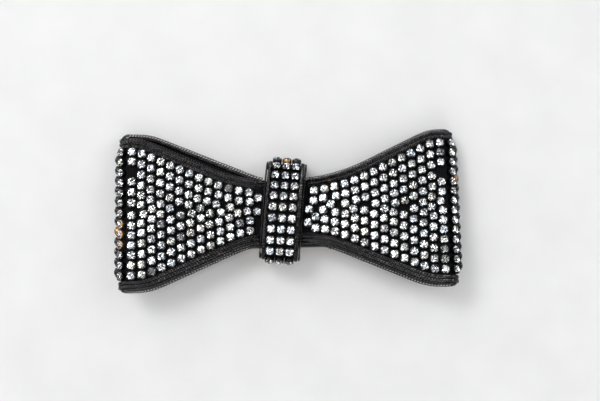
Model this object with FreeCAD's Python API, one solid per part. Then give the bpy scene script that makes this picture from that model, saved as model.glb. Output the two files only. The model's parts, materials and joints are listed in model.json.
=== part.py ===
"""Crystal bow brooch: two folded strap wings covered in cup-set crystals, edged with three rows
of fine curb chain, held at the waist by a crystal knot band, with a locking bar pin on the back.

Everything is first laid out in the bow's own frame, in millimetres: X along the bow, Y up the bow,
Z out of its face, with Z = 0 on the outside of the wings' back plies. The finished brooch is then
leaned about X onto the plane that it rests on, which its catch and the upper wing tips touch, and
moved so that the origin is on that plane, under the middle of the brooch.
"""

import FreeCAD, Part
import math
import os

from FreeCAD import Placement, Rotation, Vector

# Crystals and the cups that hold them
STONE_RADIUS = 1.2
STONE_TIP = 0.30
STONE_GIRDLE_LOW = 1.30
STONE_GIRDLE_HIGH = 1.40
STONE_TABLE_HEIGHT = 1.90
STONE_TABLE_RADIUS = 0.72
CUP_RADIUS = 1.38
CUP_HEIGHT = 1.45
CUP_BORE = 1.24
CUP_FLOOR = 0.25
STONE_PITCH = 3.0
FIRST_ROW_AT = 1.42
ROW_PITCH = 2.9
SEAT_GAP = 0.03
CUP_CLEARANCE = 0.06

# Wings: each is one strap, folded back on itself at the tip
STRAP_THICKNESS = 1.0
STRAP_INNER_END = 0.4
FOLD_CENTRE = 45.6
FOLD_RADIUS = 3.0
WAIST_PLY_HEIGHT = 3.2
WAIST_AT = 4.0
TIP_ARC_AT = 44.0
LAST_COLUMN_AT = 45.0
FIRST_STONE_AT = 5.5
FOLD_COLUMN_ANGLES = (42.0, 95.0)
FOLD_COLUMN_TIGHTEST = 2.84
CHEVRONS = 8
CHEVRON_NODES = 6
LOWER_ARM_FLOOR = -0.2
UPPER_ARM_FLOOR = 0.6
FILL_STEP = 0.25
FILL_REACH = 6.0
FILL_ROOM = 2.2
SETTLE_ROUNDS = 1500

# Edge chain, as the plain strip that its links fill
CHAIN_WIDTH = 1.1
CHAIN_THICKNESS = 0.8
CHAIN_STEP = 1.15
CHAIN_GAP = 0.02
CHAIN_BACK_START = 15.4
CHAIN_START_GAP = 0.12

# Knot: a closed band with an oval outline, round its ends, over a padded core
KNOT_TWIST = -5.5
KNOT_SHIFT = -1.2
KNOT_HALF_WIDTH = 5.3
KNOT_END_RADIUS = 3.4
KNOT_END_AT = 10.55
KNOT_END_HEIGHT = 2.38
KNOT_TOP = 8.0
BAND_THICKNESS = 1.0
KNOT_COLUMN_PITCH = 2.85
KNOT_STONE_PITCH = 3.1
KNOT_ROWS = 13
KNOT_CHAIN_AT = 4.24
KNOT_CHAIN_WIDTH = 1.04
KNOT_CHAIN_SIDE = 0.78
KNOT_CHAIN_REACH = 18.0
KNOT_CHAIN_DROP = 0.28
PADDING_HALF_WIDTH = 4.9
PADDING_BASE = 3.45

# Back: patch and locking bar pin
PATCH_HALF_LENGTH = 15.0
PATCH_LOW = -10.4
PATCH_HIGH = 9.4
PATCH_THICKNESS = 0.8
PATCH_CORNER = 4.0
PIN_Y = -7.5
BAR_HALF_LENGTH = 13.5
BAR_WIDTH = 4.6
BAR_THICKNESS = 0.6
BAR_HOLE_RADIUS = 0.8
BAR_HOLE_SPACING = 7.0
PIVOT_X = -12.0
STEM_HEIGHT = 2.9
STEM_RADIUS = 0.4
STEM_HEAD_RADIUS = 1.0
STEM_HEAD_HALF = 0.8
STEM_NECK_RADIUS = 0.7
STEM_NECK_START = -11.3
STEM_NECK_END = -10.2
STEM_TAPER_START = 8.0
STEM_TIP_X = 12.4
STEM_TIP_RADIUS = 0.08
EAR_GAP_HALF = 0.9
EAR_THICKNESS = 0.5
EAR_RADIUS = 1.45
RIVET_RADIUS = 0.4
RIVET_FIT = 0.04
RIVET_HEAD_RADIUS = 0.75
RIVET_HEAD = 0.25
CATCH_START = 10.4
CATCH_END = 12.0
CATCH_OUTER = 1.75
CATCH_INNER = 1.28
CATCH_POST_HALF = 0.9
CATCH_SLOT = 1.0
ROTOR_FIT = 0.05
ROTOR_BORE = 0.55
ROTOR_START = 10.3
ROTOR_END = 12.9
FLANGE_START = 12.05
FLANGE_RADIUS = 1.7
TAB_REACH = 3.1
TAB_HALF = 0.45

# Worked out from the values above
BAND_BACK = KNOT_END_HEIGHT - KNOT_END_RADIUS
PATCH_BACK = BAND_BACK - PATCH_THICKNESS
BAR_BACK = PATCH_BACK - BAR_THICKNESS
STEM_Z = PATCH_BACK - STEM_HEIGHT
TALL = 60.0
THROUGH = 3.0
KNOT_SIDE = KNOT_HALF_WIDTH + CHAIN_GAP + KNOT_CHAIN_SIDE
CHAIN_BAND = CHAIN_STEP + CHAIN_WIDTH
FIRST_INSET = CHAIN_BAND + FIRST_ROW_AT


def front_radius():
    """Radius of the gentle arc that the front ply follows from the waist to the fold."""
    run = FOLD_CENTRE - WAIST_AT
    rise = 2 * FOLD_RADIUS - WAIST_PLY_HEIGHT
    return (run * run + rise * rise) / (2 * rise)


def front_height(u):
    """Height of the front ply's outer face at distance u along the wing."""
    r = front_radius()
    return 2 * FOLD_RADIUS - r + math.sqrt(r * r - (FOLD_CENTRE - u) ** 2)


class Edge:
    """One long edge of a ply in plan: waist, hollow arc, straight flank, full arc, tip.

    Waist and tip are its distances from the bow's centre line at its two ends.
    """

    def __init__(self, waist, waist_arc_at, waist_arc, tip, tip_arc):
        self.waist, self.tip = waist, tip
        self.r1, self.r2 = waist_arc, tip_arc
        self.c1 = (waist_arc_at, waist + waist_arc)
        self.c2 = (TIP_ARC_AT, self.tip - tip_arc)
        dx, dy = self.c2[0] - self.c1[0], self.c2[1] - self.c1[1]
        self.slope = math.atan2(dy, dx) + math.asin((self.r1 + self.r2) / math.hypot(dx, dy))

    def corners(self, inset):
        """The two ends of the flank, inset from the edge."""
        n = (-math.sin(self.slope), math.cos(self.slope))
        a, b = self.r1 + inset, self.r2 - inset
        low = (self.c1[0] - a * n[0], self.c1[1] - a * n[1])
        high = (self.c2[0] + b * n[0], self.c2[1] + b * n[1])
        return low, high

    def pieces(self, start, end, inset):
        """Lines and arcs of the edge, from u = start to u = end, at z = 0."""
        low, high = self.corners(inset)
        a, b, half = self.r1 + inset, self.r2 - inset, self.slope / 2
        waist, tip = self.waist - inset, self.tip - inset
        mid1 = (self.c1[0] + a * math.sin(half), self.c1[1] - a * math.cos(half))
        mid2 = (self.c2[0] - b * math.sin(half), self.c2[1] + b * math.cos(half))

        def at(p):
            return Vector(p[0], p[1], 0)

        return [
            Part.LineSegment(Vector(start, waist, 0), Vector(self.c1[0], waist, 0)).toShape(),
            Part.Arc(Vector(self.c1[0], waist, 0), at(mid1), at(low)).toShape(),
            Part.LineSegment(at(low), at(high)).toShape(),
            Part.Arc(at(high), at(mid2), Vector(self.c2[0], tip, 0)).toShape(),
            Part.LineSegment(Vector(self.c2[0], tip, 0), Vector(end, tip, 0)).toShape(),
        ]

    def height(self, u, inset):
        """Distance of the inset edge from the wing's centre line at u."""
        low, high = self.corners(inset)
        if u <= self.c1[0]:
            return self.waist - inset
        if u <= low[0]:
            return self.c1[1] - math.sqrt((self.r1 + inset) ** 2 - (u - self.c1[0]) ** 2)
        if u <= high[0]:
            return low[1] + (u - low[0]) * math.tan(self.slope)
        if u <= self.c2[0]:
            return self.c2[1] + math.sqrt((self.r2 - inset) ** 2 - (u - self.c2[0]) ** 2)
        return self.tip - inset

    def row(self, inset):
        """Points one stone pitch apart along the inset edge, from the tip inwards."""
        step = 0.05
        points = []
        u, v = LAST_COLUMN_AT, self.height(LAST_COLUMN_AT, inset)
        travelled = STONE_PITCH
        while u > FIRST_STONE_AT:
            if travelled >= STONE_PITCH:
                points.append((u, v))
                travelled = 0.0
            next_v = self.height(u - step, inset)
            travelled += math.hypot(step, next_v - v)
            u, v = u - step, next_v
        return points


UPPER_EDGE = Edge(8.9, 3.0, 48.0, 22.2, 9.0)
LOWER_EDGE = Edge(9.0, 4.2, 28.0, 22.3, 16.0)
LEFT_UPPER_FRONT_EDGE = Edge(8.3, 3.8, 46.0, 21.3, 6.0)
LEFT_UPPER_BACK_EDGE = Edge(9.2, 5.6, 7.5, 23.6, 15.0)


def mirror_y(edges):
    return [e.mirror(Vector(0, 0, 0), Vector(0, 1, 0)) for e in edges]


def plan_prism(edges):
    """A tall prism on a closed outline in the XY plane."""
    face = Part.Face(Part.Wire(Part.__sortEdges__(edges)))
    face.translate(Vector(0, 0, -TALL / 2))
    return face.extrude(Vector(0, 0, TALL))


def ply_plan(upper, lower):
    """Plan of a whole ply, between its upper and lower edges."""
    far = FOLD_CENTRE + 2 * FOLD_RADIUS
    top = upper.pieces(STRAP_INNER_END, far, 0)
    bottom = mirror_y(lower.pieces(STRAP_INNER_END, far, 0))
    near_line = line(Vector(STRAP_INNER_END, upper.waist, 0),
                     Vector(STRAP_INNER_END, -lower.waist, 0))
    far_line = line(Vector(far, upper.tip, 0), Vector(far, -lower.tip, 0))
    return plan_prism(top + bottom + [near_line, far_line])


def chain_plan(edge, inset, width, flip):
    """Plan of one chain row along an edge."""
    far = FOLD_CENTRE + 2 * FOLD_RADIUS
    outer = edge.pieces(STRAP_INNER_END, far, inset)
    inner = edge.pieces(STRAP_INNER_END, far, inset + width)
    ends = [
        line(Vector(u, h - inset, 0), Vector(u, h - inset - width, 0))
        for u, h in ((STRAP_INNER_END, edge.waist), (far, edge.tip))
    ]
    edges = outer + inner + ends
    return plan_prism(mirror_y(edges) if flip else edges)


def slab(points_and_arcs):
    """A slab, wide in Y, on an outline in the XZ plane."""
    face = Part.Face(Part.Wire(points_and_arcs))
    face.translate(Vector(0, -TALL / 2, 0))
    return face.extrude(Vector(0, TALL, 0))


def xz(x, z):
    return Vector(x, 0, z)


def line(a, b):
    return Part.LineSegment(a, b).toShape()


def arc(a, b, c):
    return Part.Arc(a, b, c).toShape()


def front_slab(start, low, high):
    """The layer from low to high above the front ply's face, down to the middle of the fold."""
    r, c = front_radius(), FOLD_CENTRE
    mid_u = (start + c) / 2

    def on(u, lift):
        full = r + lift
        return xz(u, 2 * FOLD_RADIUS - r + math.sqrt(full * full - (c - u) ** 2))

    def fold(lift, degrees):
        full, a = FOLD_RADIUS + lift, math.radians(degrees)
        return xz(c + full * math.sin(a), FOLD_RADIUS + full * math.cos(a))

    return slab([
        arc(on(start, high), on(mid_u, high), on(c, high)),
        arc(fold(high, 0), fold(high, 45), fold(high, 90)),
        line(fold(high, 90), fold(low, 90)),
        arc(fold(low, 90), fold(low, 45), fold(low, 0)),
        arc(on(c, low), on(mid_u, low), on(start, low)),
        line(on(start, low), on(start, high)),
    ])


def back_slab(start, low, high):
    """The same for the flat back ply, whose layers run from -low to -high."""
    c = FOLD_CENTRE

    def fold(lift, degrees):
        full, a = FOLD_RADIUS + lift, math.radians(degrees)
        return xz(c + full * math.sin(a), FOLD_RADIUS + full * math.cos(a))

    return slab([
        line(xz(start, -high), xz(c, -high)),
        arc(fold(high, 180), fold(high, 135), fold(high, 90)),
        line(fold(high, 90), fold(low, 90)),
        arc(fold(low, 90), fold(low, 135), fold(low, 180)),
        line(xz(c, -low), xz(start, -low)),
        line(xz(start, -low), xz(start, -high)),
    ])


def strap(front, back):
    """One wing's strap: front ply, fold and back ply, each between its two edges."""
    front_ply = front_slab(STRAP_INNER_END, -STRAP_THICKNESS, 0).common(ply_plan(*front))
    back_ply = back_slab(STRAP_INNER_END, -STRAP_THICKNESS, 0).common(ply_plan(*back))
    return front_ply.fuse(back_ply).removeSplitter()


def chain_start(sign, v):
    """Distance along a wing at which a chain at height v comes out from beside the knot."""
    turn = math.radians(KNOT_TWIST)
    clear = KNOT_SIDE / math.cos(turn) + CHAIN_START_GAP
    return clear + sign * (KNOT_SHIFT - v * math.tan(turn))


def edge_chain(front, back, row, sign, flip):
    """One row of edge chain, along the front ply, over the fold and back along the other.

    The rim row lies on the edges of the plies, and the others side by side on their faces.
    """
    v = (front.waist + CHAIN_THICKNESS) * (-1 if flip else 1)
    start = chain_start(sign, v)
    if row == "rim":
        low, high, inset, width = -STRAP_THICKNESS, 0, -CHAIN_GAP - CHAIN_THICKNESS, CHAIN_THICKNESS
        back_start = start + CHAIN_THICKNESS
    else:
        low, high, width = CHAIN_GAP, CHAIN_GAP + CHAIN_THICKNESS, CHAIN_WIDTH
        inset = 0 if row == "outer" else CHAIN_STEP
        back_start = CHAIN_BACK_START
    front_part = front_slab(start, low, high).common(chain_plan(front, inset, width, flip))
    back_part = back_slab(back_start, low, high).common(chain_plan(back, inset, width, flip))
    return front_part.fuse(back_part).removeSplitter()


def revolve(profile):
    """A solid of revolution about Z from (radius, height) points."""
    points = [Vector(r, 0, z) for r, z in profile]
    face = Part.Face(Part.makePolygon(points + points[:1]))
    return face.revolve(Vector(0, 0, 0), Vector(0, 0, 1), 360)


def cup():
    return revolve([
        (0, 0), (CUP_RADIUS, 0), (CUP_RADIUS, CUP_HEIGHT), (CUP_BORE, CUP_HEIGHT),
        (CUP_BORE, STONE_GIRDLE_LOW - 0.02), (CUP_FLOOR, CUP_FLOOR), (0, CUP_FLOOR),
    ])


def stone():
    return revolve([
        (0, STONE_TIP), (STONE_RADIUS, STONE_GIRDLE_LOW), (STONE_RADIUS, STONE_GIRDLE_HIGH),
        (STONE_TABLE_RADIUS, STONE_TABLE_HEIGHT), (0, STONE_TABLE_HEIGHT),
    ])


def seats_on_front(points):
    """Places, as (point, outward direction), standing on the front ply's face."""
    r = front_radius()
    seats = []
    for u, v in points:
        lean = math.asin((FOLD_CENTRE - u) / r)
        out = Vector(-math.sin(lean), 0, math.cos(lean))
        seats.append((Vector(u, v, front_height(u)) + out * SEAT_GAP, out))
    return seats


def clear_of_knot(sign, u, v):
    """How far a stone at (u, v) on a wing is outside the knot's reach."""
    turn = math.radians(KNOT_TWIST)
    across = (sign * u - KNOT_SHIFT) * math.cos(turn) + v * math.sin(turn)
    return sign * across - KNOT_SIDE - CUP_RADIUS - CHAIN_START_GAP


def nearest(point, others):
    return min(math.hypot(point[0] - q[0], point[1] - q[1]) for q in others)


def settled(points, upper, lower, sign):
    """The same stones pushed apart until no two cups are too close, inside the wing."""
    closest = 2 * CUP_RADIUS + CUP_CLEARANCE
    points = [list(p) for p in points]
    for _ in range(SETTLE_ROUNDS):
        moved = False
        for i, p in enumerate(points):
            for q in points[i + 1:]:
                du, dv = q[0] - p[0], q[1] - p[1]
                gap = math.hypot(du, dv)
                if gap < closest:
                    push = (closest - gap + 0.002) / (2 * gap)
                    p[0], p[1] = p[0] - du * push, p[1] - dv * push
                    q[0], q[1] = q[0] + du * push, q[1] + dv * push
                    moved = True
            p[0] = min(p[0], LAST_COLUMN_AT) - min(0, clear_of_knot(sign, p[0], p[1]))
            p[1] = min(max(p[1], -lower.height(p[0], FIRST_INSET)), upper.height(p[0], FIRST_INSET))
        if not moved:
            break
    return [tuple(p) for p in points]


def chevron_points(upper, lower, sign):
    """Stones of each chevron in plan: row k below the upper edge and row k above the lower.

    The two arms of a chevron run from the tip to where they meet, and the lower one may pass the
    middle by a little, so that it takes the stone at the meeting point. Stones that fit between
    the arms are added, and then all of them are settled.
    """
    taken, rows = [], []
    closest = 2 * CUP_RADIUS + CUP_CLEARANCE

    def middle(u):
        return (upper.height(u, 0) - lower.height(u, 0)) / 2

    for k in range(CHEVRONS):
        inset = FIRST_INSET + ROW_PITCH * k
        for side, edge, floor in ((-1, lower, LOWER_ARM_FLOOR), (1, upper, UPPER_ARM_FLOOR)):
            for u, v in edge.row(inset):
                p = (u, side * v)
                if side * (p[1] - middle(u)) < floor or clear_of_knot(sign, *p) < 0:
                    continue
                if not taken or nearest(p, taken) >= closest:
                    taken.append(p)
                    rows.append(k)
    steps = int((LAST_COLUMN_AT - FIRST_STONE_AT) / FILL_STEP)
    span = int(FILL_REACH / FILL_STEP)
    spots = [
        (LAST_COLUMN_AT - i * FILL_STEP, middle(LAST_COLUMN_AT - i * FILL_STEP) + j * FILL_STEP)
        for i in range(steps) for j in range(-span, span + 1)
    ]
    spots = [
        p for p in spots
        if clear_of_knot(sign, *p) >= 0
        and -lower.height(p[0], FIRST_INSET) <= p[1] <= upper.height(p[0], FIRST_INSET)
    ]
    while spots:
        room, spot = max((nearest(p, taken), p) for p in spots)
        if room < FILL_ROOM:
            break
        place = min(range(len(rows)), key=lambda i: math.dist(taken[i], spot))
        trial = settled(taken + [spot], upper, lower, sign)
        spots.remove(spot)
        if min(nearest(p, trial[:i] + trial[i + 1:]) for i, p in enumerate(trial)) > closest - 0.02:
            taken = trial
            rows.append(rows[place])
    chevrons = [[] for _ in range(CHEVRONS)]
    for k, p in zip(rows, taken):
        chevrons[k].append(p)
    return chevrons


def fold_seats(upper, lower):
    """Places of the columns that wrap the folded tip."""
    middle = (upper.tip - lower.tip) / 2
    reach = (upper.tip + lower.tip) / 2 - CHAIN_BAND - CUP_RADIUS - CHAIN_GAP
    count = int(2 * reach / FOLD_COLUMN_TIGHTEST) + 1
    pitch = 2 * reach / (count - 1)
    seats = []
    for column, degrees in enumerate(FOLD_COLUMN_ANGLES):
        a = math.radians(degrees)
        out = Vector(math.sin(a), 0, math.cos(a))
        foot = Vector(FOLD_CENTRE, middle, FOLD_RADIUS) + out * (FOLD_RADIUS + SEAT_GAP)
        for i in range(count - column):
            seats.append((foot + Vector(0, (i - (count - 1 - column) / 2) * pitch, 0), out))
    return seats


def placed(shape, seats):
    """Copies of a shape on its seats, as one compound."""
    copies = []
    for point, out in seats:
        copy = shape.copy()
        copy.Placement = Placement(point, Rotation(Vector(0, 0, 1), out))
        copies.append(copy)
    return Part.makeCompound(copies)


def wing(name, sign, upper_front, upper_back):
    """All the sub-parts of a wing, pointing along +X whichever its side."""
    lower = LOWER_EDGE
    parts = {f"{name}_wing_strap": strap((upper_front, lower), (upper_back, lower))}
    for side, front, back in (("upper", upper_front, upper_back), ("lower", lower, lower)):
        for row in ("rim", "outer", "inner"):
            chain = edge_chain(front, back, row, sign, side == "lower")
            parts[f"{name}_wing_{side}_{row}_chain"] = chain
    groups = {"tip_columns": fold_seats(upper_front, lower)}
    for k, points in enumerate(chevron_points(upper_front, lower, sign)):
        label = f"chevron_{min(k + 1, CHEVRON_NODES)}"
        groups.setdefault(label, []).extend(seats_on_front(points))
    for label, seats in groups.items():
        parts[f"{name}_wing_{label}_cups"] = placed(cup(), seats)
        parts[f"{name}_wing_{label}_crystals"] = placed(stone(), seats)
    return parts


class Oval:
    """The knot band's outline in the YZ plane: straight back, round ends, arched front."""

    def __init__(self, offset):
        rise = KNOT_TOP - KNOT_END_HEIGHT
        e = KNOT_END_RADIUS
        big = (KNOT_END_AT ** 2 / (rise - e) + rise + e) / 2
        self.end = e + offset
        self.big = big + offset
        self.centre = KNOT_TOP - big
        self.turn = math.atan2(KNOT_END_AT, KNOT_END_HEIGHT - self.centre)

    def at(self, s):
        """Point and outward direction at length s along the front from its middle."""
        side = 1 if s >= 0 else -1
        s = abs(s)
        arch = self.big * self.turn
        if s <= arch:
            a = s / self.big
            y, z = self.big * math.sin(a), self.centre + self.big * math.cos(a)
        else:
            a = self.turn + (s - arch) / self.end
            y = KNOT_END_AT + self.end * math.sin(a)
            z = KNOT_END_HEIGHT + self.end * math.cos(a)
        return Vector(0, side * y, z), Vector(0, side * math.sin(a), math.cos(a))

    def front_length(self):
        """Length from the middle of the front to where the back begins."""
        return self.big * self.turn + self.end * (math.pi - self.turn)

    def spots(self, reach):
        """Points from -reach to reach: the arch, then each end, as arcs need them."""
        arch = self.big * self.turn
        stops = [-reach, -(reach + arch) / 2, -arch, 0, arch, (reach + arch) / 2, reach]
        return [self.at(s)[0] for s in stops]

    def prism(self, half_width):
        """The solid inside the whole outline."""
        p = self.spots(self.front_length())
        wire = Part.Wire([arc(p[0], p[1], p[2]), arc(p[2], p[3], p[4]), arc(p[4], p[5], p[6]),
                          line(p[6], p[0])])
        face = Part.Face(wire)
        face.translate(Vector(-half_width, 0, 0))
        return face.extrude(Vector(2 * half_width, 0, 0))


def knot_strip(low, high, x_low, x_high):
    """A strip along the knot's front, from low to high above the band and x_low to x_high."""
    inner, outer = Oval(low), Oval(high)
    end_angle = (KNOT_CHAIN_REACH - inner.big * inner.turn) / inner.end
    outer_reach = outer.big * outer.turn + outer.end * end_angle
    p, q = inner.spots(KNOT_CHAIN_REACH), outer.spots(outer_reach)
    wire = Part.Wire([
        arc(p[0], p[1], p[2]), arc(p[2], p[3], p[4]), arc(p[4], p[5], p[6]), line(p[6], q[6]),
        arc(q[6], q[5], q[4]), arc(q[4], q[3], q[2]), arc(q[2], q[1], q[0]), line(q[0], p[0]),
    ])
    face = Part.Face(wire)
    face.translate(Vector(x_low, 0, 0))
    return face.extrude(Vector(x_high - x_low, 0, 0))


def knot():
    """The knot's sub-parts, before its small twist."""
    band = Oval(0).prism(KNOT_HALF_WIDTH).cut(Oval(-BAND_THICKNESS).prism(KNOT_HALF_WIDTH + 1))
    padding = Oval(-BAND_THICKNESS - CHAIN_GAP).prism(PADDING_HALF_WIDTH)
    padding = padding.cut(
        Part.makeBox(TALL, TALL, TALL, Vector(-TALL / 2, -TALL / 2, PADDING_BASE - TALL))
    )
    parts = {"knot_band": band, "knot_padding": padding}
    face_low, face_high = CHAIN_GAP, CHAIN_GAP + CHAIN_THICKNESS
    near, far = KNOT_CHAIN_AT, KNOT_CHAIN_AT + KNOT_CHAIN_WIDTH
    side_near = KNOT_HALF_WIDTH + CHAIN_GAP
    side_far = side_near + KNOT_CHAIN_SIDE
    side_high = face_high - KNOT_CHAIN_DROP
    side_low = side_high - CHAIN_WIDTH
    parts["knot_left_inner_chain"] = knot_strip(face_low, face_high, -far, -near)
    parts["knot_right_inner_chain"] = knot_strip(face_low, face_high, near, far)
    parts["knot_left_outer_chain"] = knot_strip(side_low, side_high, -side_far, -side_near)
    parts["knot_right_outer_chain"] = knot_strip(side_low, side_high, side_near, side_far)
    oval = Oval(0)
    for column, label in enumerate(("left", "middle", "right")):
        x = (column - 1) * KNOT_COLUMN_PITCH
        seats = []
        for i in range(KNOT_ROWS):
            point, out = oval.at((i - (KNOT_ROWS - 1) / 2) * KNOT_STONE_PITCH)
            seats.append((point + Vector(x, 0, 0) + out * SEAT_GAP, out))
        parts[f"knot_{label}_column_cups"] = placed(cup(), seats)
        parts[f"knot_{label}_column_crystals"] = placed(stone(), seats)
    return parts


def rounded_plate(x_half, y_low, y_high, corner, z_low, z_high):
    plate = Part.makeBox(
        2 * x_half, y_high - y_low, z_high - z_low, Vector(-x_half, y_low, z_low)
    )
    upright = [
        e for e in plate.Edges
        if abs(e.Vertexes[0].Z - e.Vertexes[1].Z) > (z_high - z_low) / 2
    ]
    return plate.makeFillet(corner, upright)


def back_patch():
    """The patch over the back of the waist, with a channel that the knot band lies in."""
    patch = rounded_plate(
        PATCH_HALF_LENGTH, PATCH_LOW, PATCH_HIGH, PATCH_CORNER, PATCH_BACK, -CHAIN_GAP
    )
    half = KNOT_HALF_WIDTH + CHAIN_GAP
    channel = Part.makeBox(
        2 * half, TALL, TALL, Vector(-half, -TALL / 2, BAND_BACK - CHAIN_GAP)
    )
    channel.rotate(Vector(0, 0, 0), Vector(0, 0, 1), KNOT_TWIST)
    channel.translate(Vector(KNOT_SHIFT, 0, 0))
    return patch.cut(channel)


def cylinder_y(radius, x, z, low, high):
    return Part.makeCylinder(radius, high - low, Vector(x, PIN_Y + low, z), Vector(0, 1, 0))


def cylinder_x(radius, low, high):
    return Part.makeCylinder(radius, high - low, Vector(low, PIN_Y, STEM_Z), Vector(1, 0, 0))


def pin_bar():
    """The bar with its sewing holes and the two ears of the hinge."""
    bar = rounded_plate(
        BAR_HALF_LENGTH, PIN_Y - BAR_WIDTH / 2, PIN_Y + BAR_WIDTH / 2,
        BAR_WIDTH / 2 - 0.1, BAR_BACK, PATCH_BACK - CHAIN_GAP,
    )
    for x in (-BAR_HOLE_SPACING, 0, BAR_HOLE_SPACING):
        bar = bar.cut(Part.makeCylinder(BAR_HOLE_RADIUS, 4, Vector(x, PIN_Y, BAR_BACK - 2)))
    for low in (EAR_GAP_HALF, -EAR_GAP_HALF - EAR_THICKNESS):
        web = Part.makeBox(
            2 * EAR_RADIUS, EAR_THICKNESS, BAR_BACK - STEM_Z,
            Vector(PIVOT_X - EAR_RADIUS, PIN_Y + low, STEM_Z),
        )
        ear = web.fuse(cylinder_y(EAR_RADIUS, PIVOT_X, STEM_Z, low, low + EAR_THICKNESS))
        bar = bar.fuse(ear)
    bore = cylinder_y(RIVET_RADIUS + RIVET_FIT / 4, PIVOT_X, STEM_Z, -THROUGH, THROUGH)
    return bar.cut(bore).removeSplitter()


def hinge_rivet():
    reach = EAR_GAP_HALF + EAR_THICKNESS + CHAIN_GAP
    rivet = cylinder_y(RIVET_RADIUS, PIVOT_X, STEM_Z, -reach, reach)
    for low in (reach, -reach - RIVET_HEAD):
        rivet = rivet.fuse(
            cylinder_y(RIVET_HEAD_RADIUS, PIVOT_X, STEM_Z, low, low + RIVET_HEAD)
        )
    return rivet.removeSplitter()


def pin_stem():
    """The sharpened stem and its drilled head."""
    head = cylinder_y(STEM_HEAD_RADIUS, PIVOT_X, STEM_Z, -STEM_HEAD_HALF, STEM_HEAD_HALF)
    neck = Part.makeCone(
        STEM_NECK_RADIUS, STEM_RADIUS, STEM_NECK_END - STEM_NECK_START,
        Vector(STEM_NECK_START, PIN_Y, STEM_Z), Vector(1, 0, 0),
    )
    shank = cylinder_x(STEM_RADIUS, STEM_NECK_END, STEM_TAPER_START)
    point = Part.makeCone(
        STEM_RADIUS, STEM_TIP_RADIUS, STEM_TIP_X - STEM_TAPER_START,
        Vector(STEM_TAPER_START, PIN_Y, STEM_Z), Vector(1, 0, 0),
    )
    bore = cylinder_y(RIVET_RADIUS + RIVET_FIT, PIVOT_X, STEM_Z, -THROUGH, THROUGH)
    return head.fuse([neck, shank, point]).cut(bore)


def slot(low, high, reach):
    """Cutter for the way that the stem takes into the catch."""
    return Part.makeBox(
        high - low, CATCH_SLOT, reach, Vector(low, PIN_Y - CATCH_SLOT / 2, STEM_Z - reach)
    )


def catch_housing():
    """The open ring on a post that the rotor turns in."""
    ring = cylinder_x(CATCH_OUTER, CATCH_START, CATCH_END)
    post = Part.makeBox(
        CATCH_END - CATCH_START, 2 * CATCH_POST_HALF, BAR_BACK - CHAIN_GAP - STEM_Z,
        Vector(CATCH_START, PIN_Y - CATCH_POST_HALF, STEM_Z),
    )
    body = ring.fuse(post).cut(cylinder_x(CATCH_INNER, CATCH_START - 1, CATCH_END + 1))
    return body.cut(slot(CATCH_START - 1, CATCH_END + 1, THROUGH)).removeSplitter()


def catch_rotor():
    """The turning lock: a slotted sleeve with a flange and a thumb tab."""
    sleeve = cylinder_x(CATCH_INNER - ROTOR_FIT, ROTOR_START, ROTOR_END)
    flange = cylinder_x(FLANGE_RADIUS, FLANGE_START, ROTOR_END)
    tab = Part.makeBox(
        ROTOR_END - FLANGE_START, TAB_REACH, 2 * TAB_HALF,
        Vector(FLANGE_START, PIN_Y - TAB_REACH, STEM_Z - TAB_HALF),
    )
    body = sleeve.fuse([flange, tab])
    body = body.cut(cylinder_x(ROTOR_BORE, ROTOR_START - 1, ROTOR_END + 1))
    return body.cut(slot(ROTOR_START - 1, ROTOR_END + 1, THROUGH)).removeSplitter()


def lean_angle():
    """Angle of the resting plane, which touches the catch ring and the upper wing tips."""
    tip_y, tip_z = LEFT_UPPER_BACK_EDGE.tip, -(CHAIN_GAP + CHAIN_THICKNESS)
    dy, dz = tip_y - PIN_Y, tip_z - STEM_Z
    return math.degrees(math.atan2(dz, dy) + math.asin(CATCH_OUTER / math.hypot(dy, dz)))


def build():
    """Every sub-part in the bow's frame, by node name."""
    parts = wing("right", 1, UPPER_EDGE, UPPER_EDGE)
    for node, shape in wing("left", -1, LEFT_UPPER_FRONT_EDGE, LEFT_UPPER_BACK_EDGE).items():
        parts[node] = shape.mirror(Vector(0, 0, 0), Vector(1, 0, 0))
    for node, shape in knot().items():
        shape.rotate(Vector(0, 0, 0), Vector(0, 0, 1), KNOT_TWIST)
        shape.translate(Vector(KNOT_SHIFT, 0, 0))
        parts[node] = shape
    parts["back_patch"] = back_patch()
    parts["pin_bar"] = pin_bar()
    parts["hinge_rivet"] = hinge_rivet()
    parts["pin_stem"] = pin_stem()
    parts["catch_housing"] = catch_housing()
    parts["catch_rotor"] = catch_rotor()
    return parts


def main():
    os.makedirs("parts", exist_ok=True)
    parts = build()
    lean = Placement(Vector(0, 0, 0), Rotation(Vector(1, 0, 0), -lean_angle()))
    whole = Part.makeCompound(list(parts.values()))
    whole.Placement = lean
    box = whole.optimalBoundingBox()
    shift = Vector(-(box.XMin + box.XMax) / 2, -(box.YMin + box.YMax) / 2, -box.ZMin)
    rest = Placement(shift, Rotation()).multiply(lean)
    for node, shape in parts.items():
        shape.Placement = rest.multiply(shape.Placement)
        shape.exportStep(f"parts/{node}.step")
        solids = shape.Solids
        print(node, "solids", len(solids), "valid", shape.isValid(),
              "volume", round(sum(s.Volume for s in solids), 3))
    print("lean", round(lean_angle(), 4), "shift", [round(x, 4) for x in shift])
    print("size", [round(x, 3) for x in (box.XLength, box.YLength, box.ZLength)])
    for label, point in (
        ("stem pivot", Vector(PIVOT_X, PIN_Y, STEM_Z)),
        ("rotor centre", Vector(CATCH_START, PIN_Y, STEM_Z)),
        ("stem middle", Vector((STEM_NECK_END + STEM_TAPER_START) / 2, PIN_Y, STEM_Z)),
    ):
        print(label, [round(x, 5) for x in rest.multVec(point)])
    print("bow up", [round(x, 6) for x in lean.Rotation.multVec(Vector(0, 1, 0))])


main()
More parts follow.
